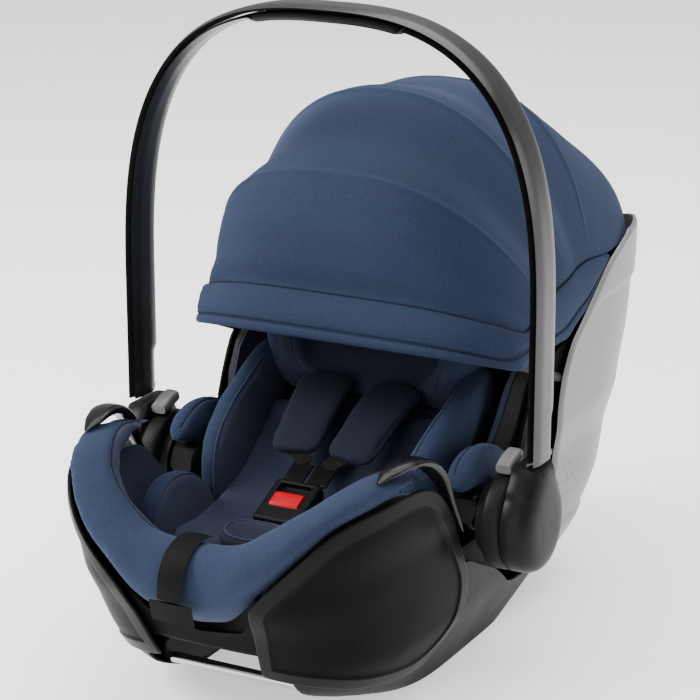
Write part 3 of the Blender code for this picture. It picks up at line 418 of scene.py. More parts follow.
def webbing(name, colour, light):
    """Woven tape: fine ribs across its length and a satin face."""
    made, tree, shader, place = new_material(name, colour, 0.62)
    ribs = tree.nodes.new("ShaderNodeTexWave")
    ribs.bands_direction = "X"
    put(ribs, Scale=210.0, Distortion=0.6, Detail_Scale=90.0, Vector=place)
    weave = noise(tree, place, 800.0, 2.0)
    put(shader, Base_Color=blend_colours(tree, ramp(tree, weave, 0.35, 0.7, 0, 1), colour, light),
        Specular_IOR_Level=0.08)
    bump(tree, shader, [(ribs.outputs["Fac"], 0.00025), (weave, 0.00015)], 0.6)
    return made


def metal(name, colour, roughness, stretch):
    """Drawn steel: fine lines along its length."""
    made, tree, shader, place = new_material(name, colour, roughness)
    lines = noise(tree, place, 260.0, 3.0, 0.6, stretch=stretch)
    put(shader, Metallic=1.0, Roughness=ramp(tree, lines, 0.3, 0.7, roughness * 0.7, roughness * 1.5),
        Base_Color=blend_colours(tree, lines, tuple(c * 0.85 for c in colour), colour))
    bump(tree, shader, [(lines, 0.00004)], 0.4)
    return made


NAVY = cloth("navy_melange", (0.0095, 0.0156, 0.0360), (0.0285, 0.0410, 0.0800))
# The liner's cloth, its colour lightened to paint in fill light on the shaded inside of the seat and canopy.
NAVY_LINER_PAINTED_FILL = cloth("navy_liner_painted_fill", (0.0150, 0.0182, 0.0360), (0.0390, 0.0460, 0.0780), tint=(0.42, 0.50, 0.75))
# A darker copy of the navy cloth: painted shade on the chest pads and crotch cushion, which face the lights.
NAVY_PAINTED_SHADE = cloth("navy_painted_shade", (0.0050, 0.0062, 0.0130), (0.0140, 0.0165, 0.0290), tint=(0.42, 0.50, 0.75))
PIPING = cloth("navy_piping", (0.0120, 0.0180, 0.0400), (0.0340, 0.0470, 0.0860), sheen=0.12)
THREAD = cloth("navy_thread", (0.003, 0.004, 0.010), (0.007, 0.009, 0.018), sheen=0.05)
BLACK = plastic("black_gloss", (0.0040, 0.0040, 0.0042), 0.24, grain=900.0, depth=0.00003, coat=0.06,
                gloss=0.25)
BLACK_SATIN = plastic("black_satin", (0.0045, 0.0045, 0.0047), 0.40, gloss=0.14)
CHARCOAL = plastic("charcoal_grain", (0.0075, 0.0075, 0.0077), 0.44, grain=1100.0, depth=0.00008, gloss=0.08)
TUB_BLACK = plastic("tub_black", (0.0035, 0.0035, 0.0036), 0.55, gloss=0.03)
PANEL_BLACK = plastic("panel_black", (0.0028, 0.0028, 0.0029), 0.40, grain=1100.0, depth=0.00004, gloss=0.03)
# The wing's satin frame, a little lighter than the panel: partly its own finish, partly a painted highlight
# along the rim.
PANEL_SATIN_HIGHLIGHT = plastic("panel_satin_highlight", (0.0038, 0.0038, 0.0039), 0.36, grain=1100.0, depth=0.00003, gloss=0.08)
GREY = plastic("grey_satin", (0.170, 0.170, 0.173), 0.34, grain=1300.0, depth=0.00003, spread=0.02,
               gloss=0.50, mottle=0.25)
HANDLE = plastic("handle_satin", (0.012, 0.012, 0.0123), 0.33, grain=1300.0, depth=0.00004, coat=0.10,
                 gloss=0.46)
# A darker copy of the handle's plastic for the hub covers: the darker colour is painted shade.
HUB_SHADED = plastic("hub_satin_shaded", (0.0065, 0.0065, 0.0067), 0.40, grain=1300.0, depth=0.00004, gloss=0.10)
GRIP = plastic("grip_soft", (0.008, 0.008, 0.0082), 0.55, grain=700.0, depth=0.00010, gloss=0.14)
# Grey button plastic, darkened to paint in the shade that the buttons sit in.
BUTTON_SHADED = plastic("button_grey_shaded", (0.13, 0.13, 0.128), 0.42, grain=1300.0, depth=0.00005)
RED = plastic("release_red", (0.42, 0.0, 0.0100), 0.34, grain=900.0, depth=0.00002, spread=0.02, gloss=0.08)
BUCKLE_GREY = plastic("buckle_grey", (0.0045, 0.0045, 0.0046), 0.40, gloss=0.08)
FOAM = plastic("bead_foam", (0.012, 0.012, 0.0125), 0.85, grain=260.0, depth=0.0004)
STEEL = metal("bright_steel", (0.66, 0.66, 0.68), 0.16, (1.0, 18.0, 18.0))
WEBBING = webbing("black_webbing", (0.0016, 0.0016, 0.0017), (0.0042, 0.0042, 0.0044))


# ---------------------------------------------------------------- mesh tools
def placed(name, data):
    obj = bpy.data.objects.new(name, data)
    bpy.context.scene.collection.objects.link(obj)
    return obj


def as_object(name, vertices, faces, materials, sharp=38.0):
    """A named mesh object. materials is one material, or several with a material index on each face."""
    mesh = bpy.data.meshes.new(name)
    mesh.from_pydata([tuple(v) for v in vertices], [], faces)
    for made in materials if isinstance(materials, (list, tuple)) else [materials]:
        mesh.materials.append(made)
    tidy = bmesh.new()
    tidy.from_mesh(mesh)
    bmesh.ops.remove_doubles(tidy, verts=tidy.verts, dist=1e-6)
    bmesh.ops.recalc_face_normals(tidy, faces=tidy.faces)
    tidy.to_mesh(mesh)
    tidy.free()
    mesh.shade_smooth()
    mesh.set_sharp_from_angle(angle=math.radians(sharp))
    return placed(name, mesh)


def bake(obj):
    """Replaces the object's mesh with what its modifiers make of it."""
    bpy.context.view_layer.update()
    graph = bpy.context.evaluated_depsgraph_get()
    mesh = bpy.data.meshes.new_from_object(obj.evaluated_get(graph))
    obj.modifiers.clear()
    obj.data = mesh
    return obj


def modified(obj, kind, **settings):
    change = obj.modifiers.new(kind.lower(), kind)
    for name, value in settings.items():
        setattr(change, name, value)
    return change


def rounded(obj, width, segments=3, angle=40.0):
    modified(obj, "BEVEL", width=width, segments=segments, limit_method="ANGLE",
             angle_limit=math.radians(angle))
    modified(obj, "WEIGHTED_NORMAL", keep_sharp=False)
    return bake(obj)


def subdivided(obj, levels):
    modified(obj, "SUBSURF", levels=levels, render_levels=levels)
    return bake(obj)


def cut(obj, tool, operation="DIFFERENCE"):
    """Takes another solid out of the object, or joins it on, and deletes that solid."""
    modified(obj, "BOOLEAN", operation=operation, object=tool, solver="EXACT")
    bake(obj)
    bpy.data.objects.remove(tool)


def side_faces(rows, count, base=0):
    """The four-sided faces between each ring of points and the next."""
    faces = []
    for j in range(rows - 1):
        a, b = base + j * count, base + (j + 1) * count
        faces += [(a + k, a + (k + 1) % count, b + (k + 1) % count, b + k) for k in range(count)]
    return faces


def end_faces(rows, count, base=0):
    last = base + (rows - 1) * count
    return [tuple(reversed(range(base, base + count))), tuple(range(last, last + count))]


def loft(name, rings, materials, sharp=38.0, caps=True):
    """A solid through rings of points, with a flat face on each end."""
    rows, count = len(rings), len(rings[0])
    faces = side_faces(rows, count) + (end_faces(rows, count) if caps else [])
    return as_object(name, [p for ring in rings for p in ring], faces, materials, sharp)


def skin(name, outer, inner, materials, wrap=False, cap=False, sharp=38.0):
    """A closed wall between two equal grids. wrap closes each row, and cap closes the first row's end."""
    rows, columns = len(outer), len(outer[0])
    vertices = [p for row in outer for p in row] + [p for row in inner for p in row]
    half = rows * columns

    def o(j, k):
        return j * columns + k % columns

    def i(j, k):
        return half + o(j, k)

    span = columns if wrap else columns - 1
    faces = []
    for j in range(rows - 1):
        for k in range(span):
            faces.append((o(j, k), o(j, k + 1), o(j + 1, k + 1), o(j + 1, k)))
            faces.append((i(j, k), i(j + 1, k), i(j + 1, k + 1), i(j, k + 1)))
    for k in range(span):
        faces.append((o(rows - 1, k), o(rows - 1, k + 1), i(rows - 1, k + 1), i(rows - 1, k)))
        if not cap:
            faces.append((o(0, k), i(0, k), i(0, k + 1), o(0, k + 1)))
    if cap:
        faces.append(tuple(reversed(range(columns))))
        faces.append(tuple(half + k for k in range(columns)))
    if not wrap:
        last = columns - 1
        for j in range(rows - 1):
            faces.append((o(j, 0), o(j + 1, 0), i(j + 1, 0), i(j, 0)))
            faces.append((o(j, last), i(j, last), i(j + 1, last), o(j + 1, last)))
    return as_object(name, vertices, faces, materials, sharp)


def turned(name, profile, materials, centre, side=1, segments=72):
    """A solid of revolution about an X axis. profile runs through (x, radius)."""
    rings = [[Vector((centre[0] + side * x, centre[1] + r * math.cos(a), centre[2] + r * math.sin(a)))
              for a in (math.tau * k / segments for k in range(segments))] for x, r in profile]
    return loft(name, rings, materials)


def box_solid(name, size, materials, centre, rotation=(0, 0, 0), bevel=0.002, segments=4):
    x, y, z = (s / 2 for s in size)
    corners = [(i, j, k) for i in (-x, x) for j in (-y, y) for k in (-z, z)]
    faces = [(0, 1, 3, 2), (4, 6, 7, 5), (0, 4, 5, 1), (2, 3, 7, 6), (0, 2, 6, 4), (1, 5, 7, 3)]
    turn = Matrix.Rotation(rotation[0], 3, "X") @ Matrix.Rotation(rotation[1], 3, "Y")
    obj = as_object(name, [turn @ Vector(c) + Vector(centre) for c in corners], faces, materials)
    return rounded(obj, bevel, segments, 30.0)


def tube(name, points, radius, materials, count=8, closed=False):
    """A round cord along points, which keeps its own twist-free frame."""
    points = [Vector(p) for p in points]
    rings, up = [], Vector((0.0, 0.0, 1.0))
    total = len(points)
    for k, here in enumerate(points):
        if closed:
            ahead = (points[(k + 1) % total] - points[k - 1]).normalized()
        else:
            ahead = (points[min(total - 1, k + 1)] - points[max(0, k - 1)]).normalized()
        up = up - ahead * up.dot(ahead)
        if up.length < 1e-4:
            up = ahead.orthogonal()
        up.normalize()
        across = ahead.cross(up)
        rings.append([here + up * radius * math.cos(b) + across * radius * math.sin(b)
                      for b in (math.tau * j / count for j in range(count))])
    if closed:
        rings.append(rings[0])
    return loft(name, rings, materials, caps=not closed)


def strip(name, route, half_width, half_thickness, materials, count=40):
    """A flat woven strap along a route, with its width across X and softly rounded edges."""
    line = spaced(route, count)
    rings = []
    for k, here in enumerate(line):
        ahead = heading(line, k)
        across = (ACROSS - ahead * ahead.x).normalized()
        up = across.cross(ahead)
        rings.append([here + across * u + up * w for u, w in oval(half_width, half_thickness, 6.0, 24)])
    return loft(name, rings, materials)


def tree_of(obj):
    return BVHTree.FromPolygons([v.co for v in obj.data.vertices], [p.vertices for p in obj.data.polygons])


def laid_on(obj, points, lift=0.0):
    """The points moved to the nearest place on a piece's surface, and lift above it."""
    surface = tree_of(obj)
    found = []
    for p in points:
        place, normal, _, _ = surface.find_nearest(Vector(p))
        found.append(place + normal * lift)
    return found


def smoothed(points, rounds=2):
    for _ in range(rounds):
        inner = [(a + b * 2 + c) / 4 for a, b, c in zip(points, points[1:], points[2:])]
        points = [points[0], *inner, points[-1]]
    return points


def pushed(obj, amount):
    """Moves each vertex out along its own normal, by what amount says for its place."""
    mesh = obj.data
    normals = [vertex.normal.copy() for vertex in mesh.vertices]
    places = [vertex.co.copy() for vertex in mesh.vertices]
    moved = [p + n * amount(p) for p, n in zip(places, normals)]
    mesh.vertices.foreach_set("co", np.array([tuple(p) for p in moved]).ravel())
    mesh.update()


def search_tree(points):
    tree = KDTree(len(points))
    for k, p in enumerate(points):
        tree.insert(p, k)
    tree.balance()
    return tree


def crease(obj, points, width, depth):
    """Draws the surface in along a sewn line."""
    line = search_tree(points)
    pushed(obj, lambda p: -depth * math.exp(-((line.find(p)[2] / width) ** 2)))


def inflate(obj, voxel=0.005, cap=0.006, pressure=4.0, frames=20):
    """Swells a soft piece with cloth pressure. No point moves further than cap from where it started."""
    modified(obj, "REMESH", mode="VOXEL", voxel_size=voxel, use_smooth_shade=True)
    bake(obj)
    modified(obj, "SMOOTH", factor=0.5, iterations=4)
    bake(obj)
    start = np.array([v.co for v in obj.data.vertices])
    soft = obj.modifiers.new("cloth", "CLOTH")
    for name, value in (("quality", 5), ("mass", 0.3), ("tension_stiffness", 12),
                        ("compression_stiffness", 12), ("bending_stiffness", 1.2), ("use_pressure", True),
                        ("uniform_pressure_force", pressure)):
        setattr(soft.settings, name, value)
    soft.settings.effector_weights.gravity = 0.0
    soft.collision_settings.use_collision = False
    scene = bpy.context.scene
    for f in range(1, frames + 1):
        scene.frame_set(f)
    graph = bpy.context.evaluated_depsgraph_get()
    swollen = np.array([v.co for v in obj.evaluated_get(graph).data.vertices])
    obj.modifiers.clear()
    scene.frame_set(1)
    moved = swollen - start
    far = np.linalg.norm(moved, axis=1, keepdims=True)
    moved *= cap * np.tanh(far / cap) / np.maximum(far, 1e-9)
    obj.data.vertices.foreach_set("co", (start + moved).ravel())
    obj.data.update()
    subdivided(obj, 1)
    obj.data.shade_smooth()
    return obj


def ripple(obj, depth, scale, seed):
    """Low, uneven fullness of stuffed cloth, in the mesh itself."""
    pushed(obj, lambda p: depth * field.noise(p * scale + Vector((seed, seed * 2.0, 0))))


def paint(obj, chooser):
    """Gives each face the material index that chooser makes of its middle."""
    for face in obj.data.polygons:
        face.material_index = chooser(face.center)


def show(obj, body, slot, *nodes):
    """Hangs a piece on its body, in place of the CAD nodes named."""
    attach(obj, body)
    if nodes:
        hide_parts(*nodes)


# ---------------------------------------------------------------- moulded shells
def show_pad(pad, fill, body, slot, *nodes):
    show(pad, body, slot, *nodes)


def edge_round(distance, radius):
    """How far a rounded edge draws the surface in, at a distance from that edge."""
    return 0.0 if distance >= radius else radius - math.sqrt(max(0.0, radius**2 - (radius - distance) ** 2))


def bowl_rows(angles, levels, rim, inset, low):
    """Rows of points that climb the hull from a height to a rim."""
    return [[hull(a, low + (between(rim, folded(a)) - low) * level, inset) for a in angles]
            for level in levels]


def base_body():
    """The rocker base: a thin bowl, with a tunnel cut into its underside from the foot end."""
    angles = [360.0 * k / 180 for k in range(180)]
    levels = (0.0, 0.05, 0.12, 0.22, 0.34, 0.46, 0.58, 0.70, 0.82, 0.92, 1.0)

    def grid(inset, low):
        floor = [Vector((p.x * 0.5, p.y * 0.5 - 0.019, low)) for p in (hull(a, 0, inset) for a in angles)]
        return [floor] + bowl_rows(angles, levels, BASE_TOP, inset, low)

    body = skin("base_body", grid(BASE_INSET, 0.0), grid(BASE_INSET + BASE_WALL, BASE_WALL), CHARCOAL,
                wrap=True, cap=True)
    cut(body, box_solid("tunnel_space", (0.150, 0.245, 0.124), CHARCOAL, (0, -0.1975, 0), bevel=0.012))
    rounded(body, 0.0010, 2, 50.0)
    show(body, "shell", "charcoal_plastic", "base_shell")


def tub_body():
    """The black bucket that holds the covers. It stands in the base."""
    angles = [360.0 * k / 240 for k in range(240)]
    levels = [(k / 16) ** 0.8 for k in range(17)]

    def grid(inset, low):
        floor = bowl_rows(angles, levels[:1], TUB_RIM, inset + 0.0012, low)
        return floor + bowl_rows(angles, levels[1:], TUB_RIM, inset, low)

    body = skin("tub_body", grid(TUB_INSET, TUB_FLOOR_Z), grid(TUB_INSET + TUB_WALL, TUB_FLOOR_Z + TUB_WALL),
                TUB_BLACK, wrap=True, cap=True)
    rounded(body, 0.0011, 3, 50.0)
    show(body, "shell", "black_plastic", "inner_tub")


# The wing's outline, anticlockwise from its lower front corner. Each row is (angle around the hull, height).
WING_OUTLINE = ((12.0, 0.054), (16, 0.051), (24, 0.045), (32, 0.036), (40, 0.029), (48, 0.0245),
                (56, 0.0265), (62.5, 0.037), (67.0, 0.056), (68.0, 0.080), (65.5, 0.107), (61.5, 0.137),
                (57, 0.166), (52.5, 0.189), (48, 0.209), (44, 0.2195), (41, 0.2225), (37, 0.2222),
                (33, 0.2185), (28, 0.2130), (24.5, 0.2045), (21, 0.188), (16, 0.161), (12.6, 0.140),
                (12, 0.132), (11.8, 0.095))


def shrunk(outline, distance):
    """A closed outline drawn in by a distance, and eased a little so that its corners stay clean."""
    count = len(outline)
    found = []
    for k, here in enumerate(outline):
        ahead = (outline[(k + 1) % count] - outline[k - 1]).normalized()
        found.append(here + Vector((-ahead.y, ahead.x, 0)) * distance)
    return eased(found, 0.25)


def eased(outline, share):
    """A closed outline, each point moved a share of the way to the middle of its neighbours."""
    count = len(outline)
    return [here.lerp((outline[k - 1] + outline[(k + 1) % count]) / 2, share)
            for k, here in enumerate(outline)]


def wing(side, word):
    """The side panel: a broad satin frame round a smooth, sunken middle. The frame's colour is a little
    lighter, partly its own satin finish and partly a painted highlight along its rounded rim.
    """
    rim, sunk = 0.0135, 0.0017
    angles = [4 + 78 * k / 300 for k in range(301)]
    along = run_of([hull(a, 0.12) for a in angles])

    def flat(a, z):
        return Vector((float(np.interp(a, angles, along)), z, 0))

    def place(p, inset):
        q = hull(float(np.interp(p.x, along, angles)), p.y, inset)
        return Vector((side * q.x, q.y, q.z))

    outline = spaced([flat(*row) for row in WING_OUTLINE + WING_OUTLINE[:1]], 220)[:-1]
    for _ in range(3):
        outline = eased(outline, 0.5)
    steps = (0.0, 0.0003, 0.0008, 0.0015, 0.0024, 0.0060, 0.0100, rim - 0.0015, rim - 0.0007, rim,
             rim + 0.0010, rim + 0.0022, rim + 0.0036, rim + 0.0070, rim + 0.0120)
    rings, ring = [], outline
    for last, step in zip((0.0,) + steps, steps):
        if step > last:
            ring = shrunk(ring, step - last)
        inset = edge_round(step, 0.0015) + sunk * smooth_step(rim - 0.0012, rim + 0.0036, step)
        rings.append([place(p, inset) for p in ring])
    centre = sum(ring, Vector()) / len(ring)
    rings += [[place(p.lerp(centre, k / 12), sunk) for p in ring] for k in range(1, 12)]
    back = [[place(p.lerp(centre, k / 8), PANEL) for p in outline] for k in range(8)]
    vertices = [p for row in rings + back for p in row] + [place(centre, sunk), place(centre, PANEL)]
    count, front_rows = len(outline), len(rings)
    behind, front_tip, back_tip = front_rows * count, len(vertices) - 2, len(vertices) - 1
    faces = []
    for first, rows, tip in ((0, front_rows, front_tip), (behind, len(back), back_tip)):
        a = first + (rows - 1) * count
        faces += side_faces(rows, count, first) + [(a + k, a + (k + 1) % count, tip) for k in range(count)]
    satin_highlight_faces = count * sum(steps[min(j, len(steps) - 1)] < rim - 0.0010 for j in range(front_rows - 1))
    edge_faces = len(faces)
    faces += [(k, (k + 1) % count, behind + (k + 1) % count, behind + k) for k in range(count)]
    panel = as_object("wing_" + word, vertices, faces, [PANEL_BLACK, PANEL_SATIN_HIGHLIGHT], sharp=70.0)
    # The frame and the outline's edge wall take the lighter satin, which partly paints the rim's highlight.
    for n, face in enumerate(panel.data.polygons):
        face.material_index = int(n < satin_highlight_faces or n >= edge_faces)
    show(panel, "shell", "black_plastic", "side_panel_" + word)


def flank():
    """The grey back shell: a raised rim, a long sunken field round the back and rows of drilled dimples."""
    rows, columns = 84, 240
    sunk, wall = 0.0024, 0.0040
    field_low, field_high, field_margin = 0.075, 0.302, 0.006

    def point(j, k, inset):
        z = BACK_LOW + (BACK_HIGH - BACK_LOW) * j / rows
        edge = between(BACK_FRONT_EDGE, z)
        share = k / columns
        a = edge + (360 - 2 * edge) * (share - 0.045 * math.sin(math.tau * share))
        top = between(BACK_TOP, folded(a))
        return hull(a, BACK_LOW + (z - BACK_LOW) * (top - BACK_LOW) / (BACK_HIGH - BACK_LOW), inset)

    def nearest(distances, blend):
        return -blend * math.log(sum(math.exp(-d / blend) for d in distances))

    flat = [[point(j, k, 0.0) for k in range(columns + 1)] for j in range(rows + 1)]
    outer = []
    for j, row in enumerate(flat):
        lengths = run_of(row)
        moved = []
        for k, p in enumerate(row):
            front = min(lengths[k], lengths[-1] - lengths[k])
            rim = max(0.0, nearest((front, flat[rows][k].z - p.z, p.z - flat[0][k].z), 0.0006))
            inside = nearest((front - field_margin, field_high - p.z, p.z - field_low), 0.010)
            moved.append(point(j, k, edge_round(rim, 0.0016) + sunk * smooth_step(0.0, 0.0040, inside)))
        outer.append(moved)
    inner = [[point(j, k, wall) for k in range(columns + 1)] for j in range(rows + 1)]
    shell = skin("flank_shell", outer, inner, GREY, sharp=60.0)
    drills = bmesh.new()
    for z, first, step, count in DIMPLES:
        for k in range(count):
            for side in (1, -1):
                here = hull(first + step * k, z, 0.0018)
                away = (here - hull(first + step * k, z, 0.0044)).normalized()
                turn = Vector((side * away.x, away.y, away.z)).to_track_quat("Z", "Y").to_matrix().to_4x4()
                turn.translation = (side * here.x, here.y, here.z)
                bmesh.ops.create_cone(drills, cap_ends=True, segments=12, radius1=0.0009, radius2=0.0014,
                                      depth=0.0030, matrix=turn)
    mesh = bpy.data.meshes.new("drills")
    drills.to_mesh(mesh)
    drills.free()
    mesh.materials.append(BLACK)
    cut(shell, placed("drills", mesh))
    show(shell, "shell", "grey_satin_plastic", "back_shell")


def horn(side, word):
    """The glossy horn of the belt path: a broad cap on the wing's top, and a strip down its rear edge."""
    route = ((0.1480, -0.2400, 0.2395, 0.0050, 0.0020), (0.1500, -0.2240, 0.2440, 0.0100, 0.0034),
             (0.1535, -0.2050, 0.2462, 0.0125, 0.0042), (0.1555, -0.1860, 0.2440, 0.0130, 0.0046),
             (0.1575, -0.1690, 0.2365, 0.0115, 0.0046), (0.1605, -0.1520, 0.2220, 0.0080, 0.0042),
             (0.1630, -0.1400, 0.2050, 0.0048, 0.0034), (0.1640, -0.1210, 0.1780, 0.0034, 0.0028),
             (0.1630, -0.1030, 0.1530, 0.0028, 0.0024))
    count = 72
    line = spaced([p[:3] for p in route], count)
    sizes = [tuple(enumerate(p[i] for p in route)) for i in (3, 4)]
    rings = []
    for k, here in enumerate(line):
        taper = min(1.0, 0.12 + 10.0 * min(k, count - k) / count) ** 0.5
        wide, thick = (between(rows, k / count * (len(route) - 1)) * taper for rows in sizes)
        up = heading(line, k).cross(ACROSS).normalized()
        up = -up if up.z < 0 else up
        rings.append([Vector((side * (here.x + u), here.y + up.y * w, here.z + up.z * w))
                      for u, w in oval(wide, thick, 2.2, 32)])
    show(loft("horn_" + word, rings, BLACK, sharp=70.0), "shell", "black_plastic", "belt_horn_" + word)


def belt_guide(side, word):
    """The rounded hook that the vehicle's lap belt runs under, with its lipped mouth."""
    centre = Vector((0, -0.0640, 0.1580))
    profile = [(0.1320, 0.0090), (0.1326, 0.0118), (0.1345, 0.0145), (0.1365, 0.0160), (0.1390, 0.0170),
               (0.1470, 0.0175), (0.1560, 0.0175), (0.1585, 0.0169), (0.1605, 0.0155), (0.1618, 0.0130),
               (0.1625, 0.0100)]
    guide = turned("guide_" + word, profile, BLACK_SATIN, centre, side, 80)
    mouth = centre + Vector((side * 0.152, -0.0165, 0.004))
    cut(guide, box_solid("mouth", (0.030, 0.010, 0.026), BLACK_SATIN, mouth, (math.radians(-24), 0), 0.002))
    rounded(guide, 0.0007, 3, 42.0)
    show(guide, "shell", "black_plastic", "belt_guide_" + word)


# ---------------------------------------------------------------- handle
def band(name, first, last, steps, thickness, depth, offset, materials, squareness=3.2, count=28, size=None):
    """A stretch of the handle's band. size(t) gives factors on its thickness and depth."""
    rings = []
    for k in range(steps + 1):
        t = first + (last - first) * k / steps
        here = handle_line(t)
        ahead = (handle_line(min(1, t + 0.004)) - handle_line(max(-1, t - 0.004))).normalized()
        out = Vector((-ahead.z, 0, ahead.x))
        if out.dot(here - Vector((0, HANDLE_PIVOT.y, HANDLE_PIVOT.z + 0.15))) < 0:
            out = -out
        thick, deep = size(t) if size else (1.0, 1.0)
        centre = here + out * offset
        ring = []
        for a, b in oval(thickness / 2 * thick, depth / 2 * deep, squareness, count):
            if b > 0:
                b *= 1 - 0.23 * (1 - smooth_step(0.249, 0.257, here.z))
            ring.append(centre + out * a + Vector((0, b, 0)))
        rings.append(ring)
    return loft(name, rings, materials, sharp=60.0)


def handle():
    """The handle's arch, its two liners, the grip between them and the tabs on its legs."""
    grip_end, liner_end = 0.158, 0.163
    outer = band("handle_arch", -1, 1, 260, 0.0062, HANDLE_DEPTH, 0.0029, HANDLE, count=32)
    show(outer, "handle", "handle_plastic", "handle_outer")
    for word, first, last in (("left", -1, -liner_end), ("right", liner_end, 1)):
        liner = band("handle_liner_" + word, first, last, 110, 0.0048, HANDLE_DEPTH - 0.001, -0.0036, HANDLE)
        show(liner, "handle", "handle_plastic", "handle_inner_" + word)

    def waist(t):
        end = smooth_step(0.146, grip_end, abs(t))
        return 1.0 - 0.30 * end, 1.0 - 0.08 * end

    grip = band("grip_pad", -grip_end, grip_end, 90, 0.0085, HANDLE_DEPTH + 0.001, -0.0056, GRIP, 2.8, 32,
                waist)
    show(grip, "handle", "grip_rubber", "handle_grip")
    for side, word in SIDES:
        tab = box_solid("leg_tab_" + word, (0.0050, 0.0090, 0.0060), HANDLE,
                        HANDLE_PIVOT + Vector((side * 0.2125, 0.0165, 0.0635)), bevel=0.0012)
        show(tab, "handle", "handle_plastic")


def drop_outline(grow):
    """The outline of a hub cover: a circle that flows up into the leg of the handle."""
    points = [(HUB_RADIUS * math.cos(a), HUB_RADIUS * math.sin(a))
              for a in (math.radians(-222 + 264 * k / 66) for k in range(67))]
    end_y, end_z = points[-1]
    neck_y, neck_z = HANDLE_DEPTH / 2, 0.058
    rise = [(end_y + (neck_y - end_y) * smooth_step(0, 1, t), end_z + (neck_z - end_z) * t)
            for t in (k / 8 for k in range(1, 9))]
    points += rise + [(-y, z) for y, z in reversed(rise)]
    return [(y * (1 + grow / HUB_RADIUS), z + grow * z / 0.06) for y, z in points]


def hubs():
    """Each side's hub: its cover with two seams, the ring behind it and the release button."""
    for side, word in SIDES:
        rings = [[HANDLE_PIVOT + Vector((side * x, y, z)) for y, z in drop_outline(grow)]
                 for x, grow in HUB_DOME]
        cover = loft("hub_shell_" + word, rings, HUB_SHADED, sharp=60.0)
        show(cover, "handle", "handle_plastic", "hub_cover_" + word)
        for n, seam in enumerate(HUB_SEAMS):
            above = [HANDLE_PIVOT + Vector((side * 0.2205, y, z)) for y, z in seam]
            line = smoothed(laid_on(cover, spaced(above, 24), -0.0001))
            show(tube(f"hub_seam_{word}_{n}", line, 0.00032, BLACK), "handle", "handle_plastic")
        ring = turned("hub_ring_" + word, HUB_RING, CHARCOAL, HANDLE_PIVOT, side, 120)
        foot = HANDLE_PIVOT + Vector((side * 0.1625, 0.0330, 0.0))
        cut(ring, box_solid("foot", (0.0080, 0.0340, 0.0440), BLACK_SATIN, foot, bevel=0.002), "UNION")
        show(ring, "shell", "black_plastic", "hub_disc_" + word)
        show(release_button(side, word), "release_" + word, "button_plastic", "release_button_" + word)


def release_button(side, word):
    """A wedge-shaped push button: high at its inner end, with a slanted, softly crowned top."""
    turn = Matrix.Rotation(math.radians(14), 3, "X")
    centre = HANDLE_PIVOT + Vector((side * 0.1835, -0.004, 0.0568))
    rings = []
    for s in SLICES:
        end = (1 - abs(s) ** 5) ** 0.5 if abs(s) < 1 else 0.55
        low, high = -0.0060, 0.0060 - 0.0022 * smooth_step(-0.2, 1.0, -s)
        shape = oval(0.0080 * (0.9 + 0.1 * end), (high - low) / 2 * (0.80 + 0.20 * end), 4.0, 24)
        rings.append([turn @ Vector((u, s * 0.0140, (low + high) / 2 + w)) + centre for u, w in shape])
    return loft("lift_button_" + word, rings, BUTTON_SHADED, sharp=50.0)


# ---------------------------------------------------------------- soft goods
def bolster():
    """The padded foot end. Outside its seam it is melange, and inside it is the liner's cloth, lightened to
    paint in fill light.
    """
    last, steps, count = 46.5, 110, 36

    def point(a, turn):
        f = folded(a)
        low, high = between(BOLSTER_LIP, f), between(BOLSTER_TOP, f)
        girth = 0.72 + 0.28 * math.sqrt(max(0.0, min(1.0, (last - f) / 5)))
        thick = between(BOLSTER_THICK, f) * girth
        c, s = math.cos(turn), math.sin(turn)
        r = shape_reach(c, s, 2.3)
        z = (low + high) / 2 + r * s * (high - low) / 2 * girth
        p = hull(a, max(0.09, z), thick - between(BOLSTER_OUTSIDE, f) - r * c * thick)
        return Vector((p.x, p.y, z))

    rings = [[point(-last + 2 * last * k / steps, math.tau * n / count) for n in range(count)]
             for k in range(steps + 1)]
    pad = inflate(loft("foot_pad", rings, [NAVY, NAVY_LINER_PAINTED_FILL]), 0.0050, 0.0035)
    seam_turn, seam_end = math.radians(122), last - 1.5
    seam = laid_on(pad, [point(-seam_end + 2 * seam_end * k / 160, seam_turn) for k in range(161)])
    seam = smoothed(seam, 3)
    crease(pad, seam, 0.0024, 0.0016)
    ripple(pad, 0.0007, 34.0, 2.0)
    line = search_tree(seam)

    def inside(place):
        near = line.find(place)[0]
        toward = Vector((-near.x, SEAT_MIDDLE_Y - near.y, 0)).normalized()
        return int((place - near).dot(toward) > 0.35 * (place.z - near.z))

    paint(pad, inside)
    show_pad(pad, 0.8, "shell", "navy_fabric", "foot_bolster")
    show(tube("foot_pad_seam", laid_on(pad, seam, 0.0001), 0.0007, THREAD), "shell", "navy_fabric")


def pillow(name, outline, x_middle, lean, thick, materials, cap=0.005, crown=0.62, voxel=0.0045):
    """A flat cushion that stands on edge. outline is its shape in (y, z), and lean tilts its top outwards."""
    line = spaced([Vector((0, y, z)) for y, z in outline + outline[:1]], 56)[:-1]
    centre = sum(line, Vector()) / len(line)
    rings = []
    for s in SLICES:
        scale = crown + (1 - crown) * (1 - abs(s) ** 2.4) ** 0.5
        rings.append([Vector((x_middle + s * thick * (0.8 + 0.2 * scale) + lean * (p.z - centre.z),
                              centre.y + (p.y - centre.y) * scale, centre.z + (p.z - centre.z) * scale))
                      for p in line])
    return inflate(loft(name, rings, materials), voxel, cap), line, centre


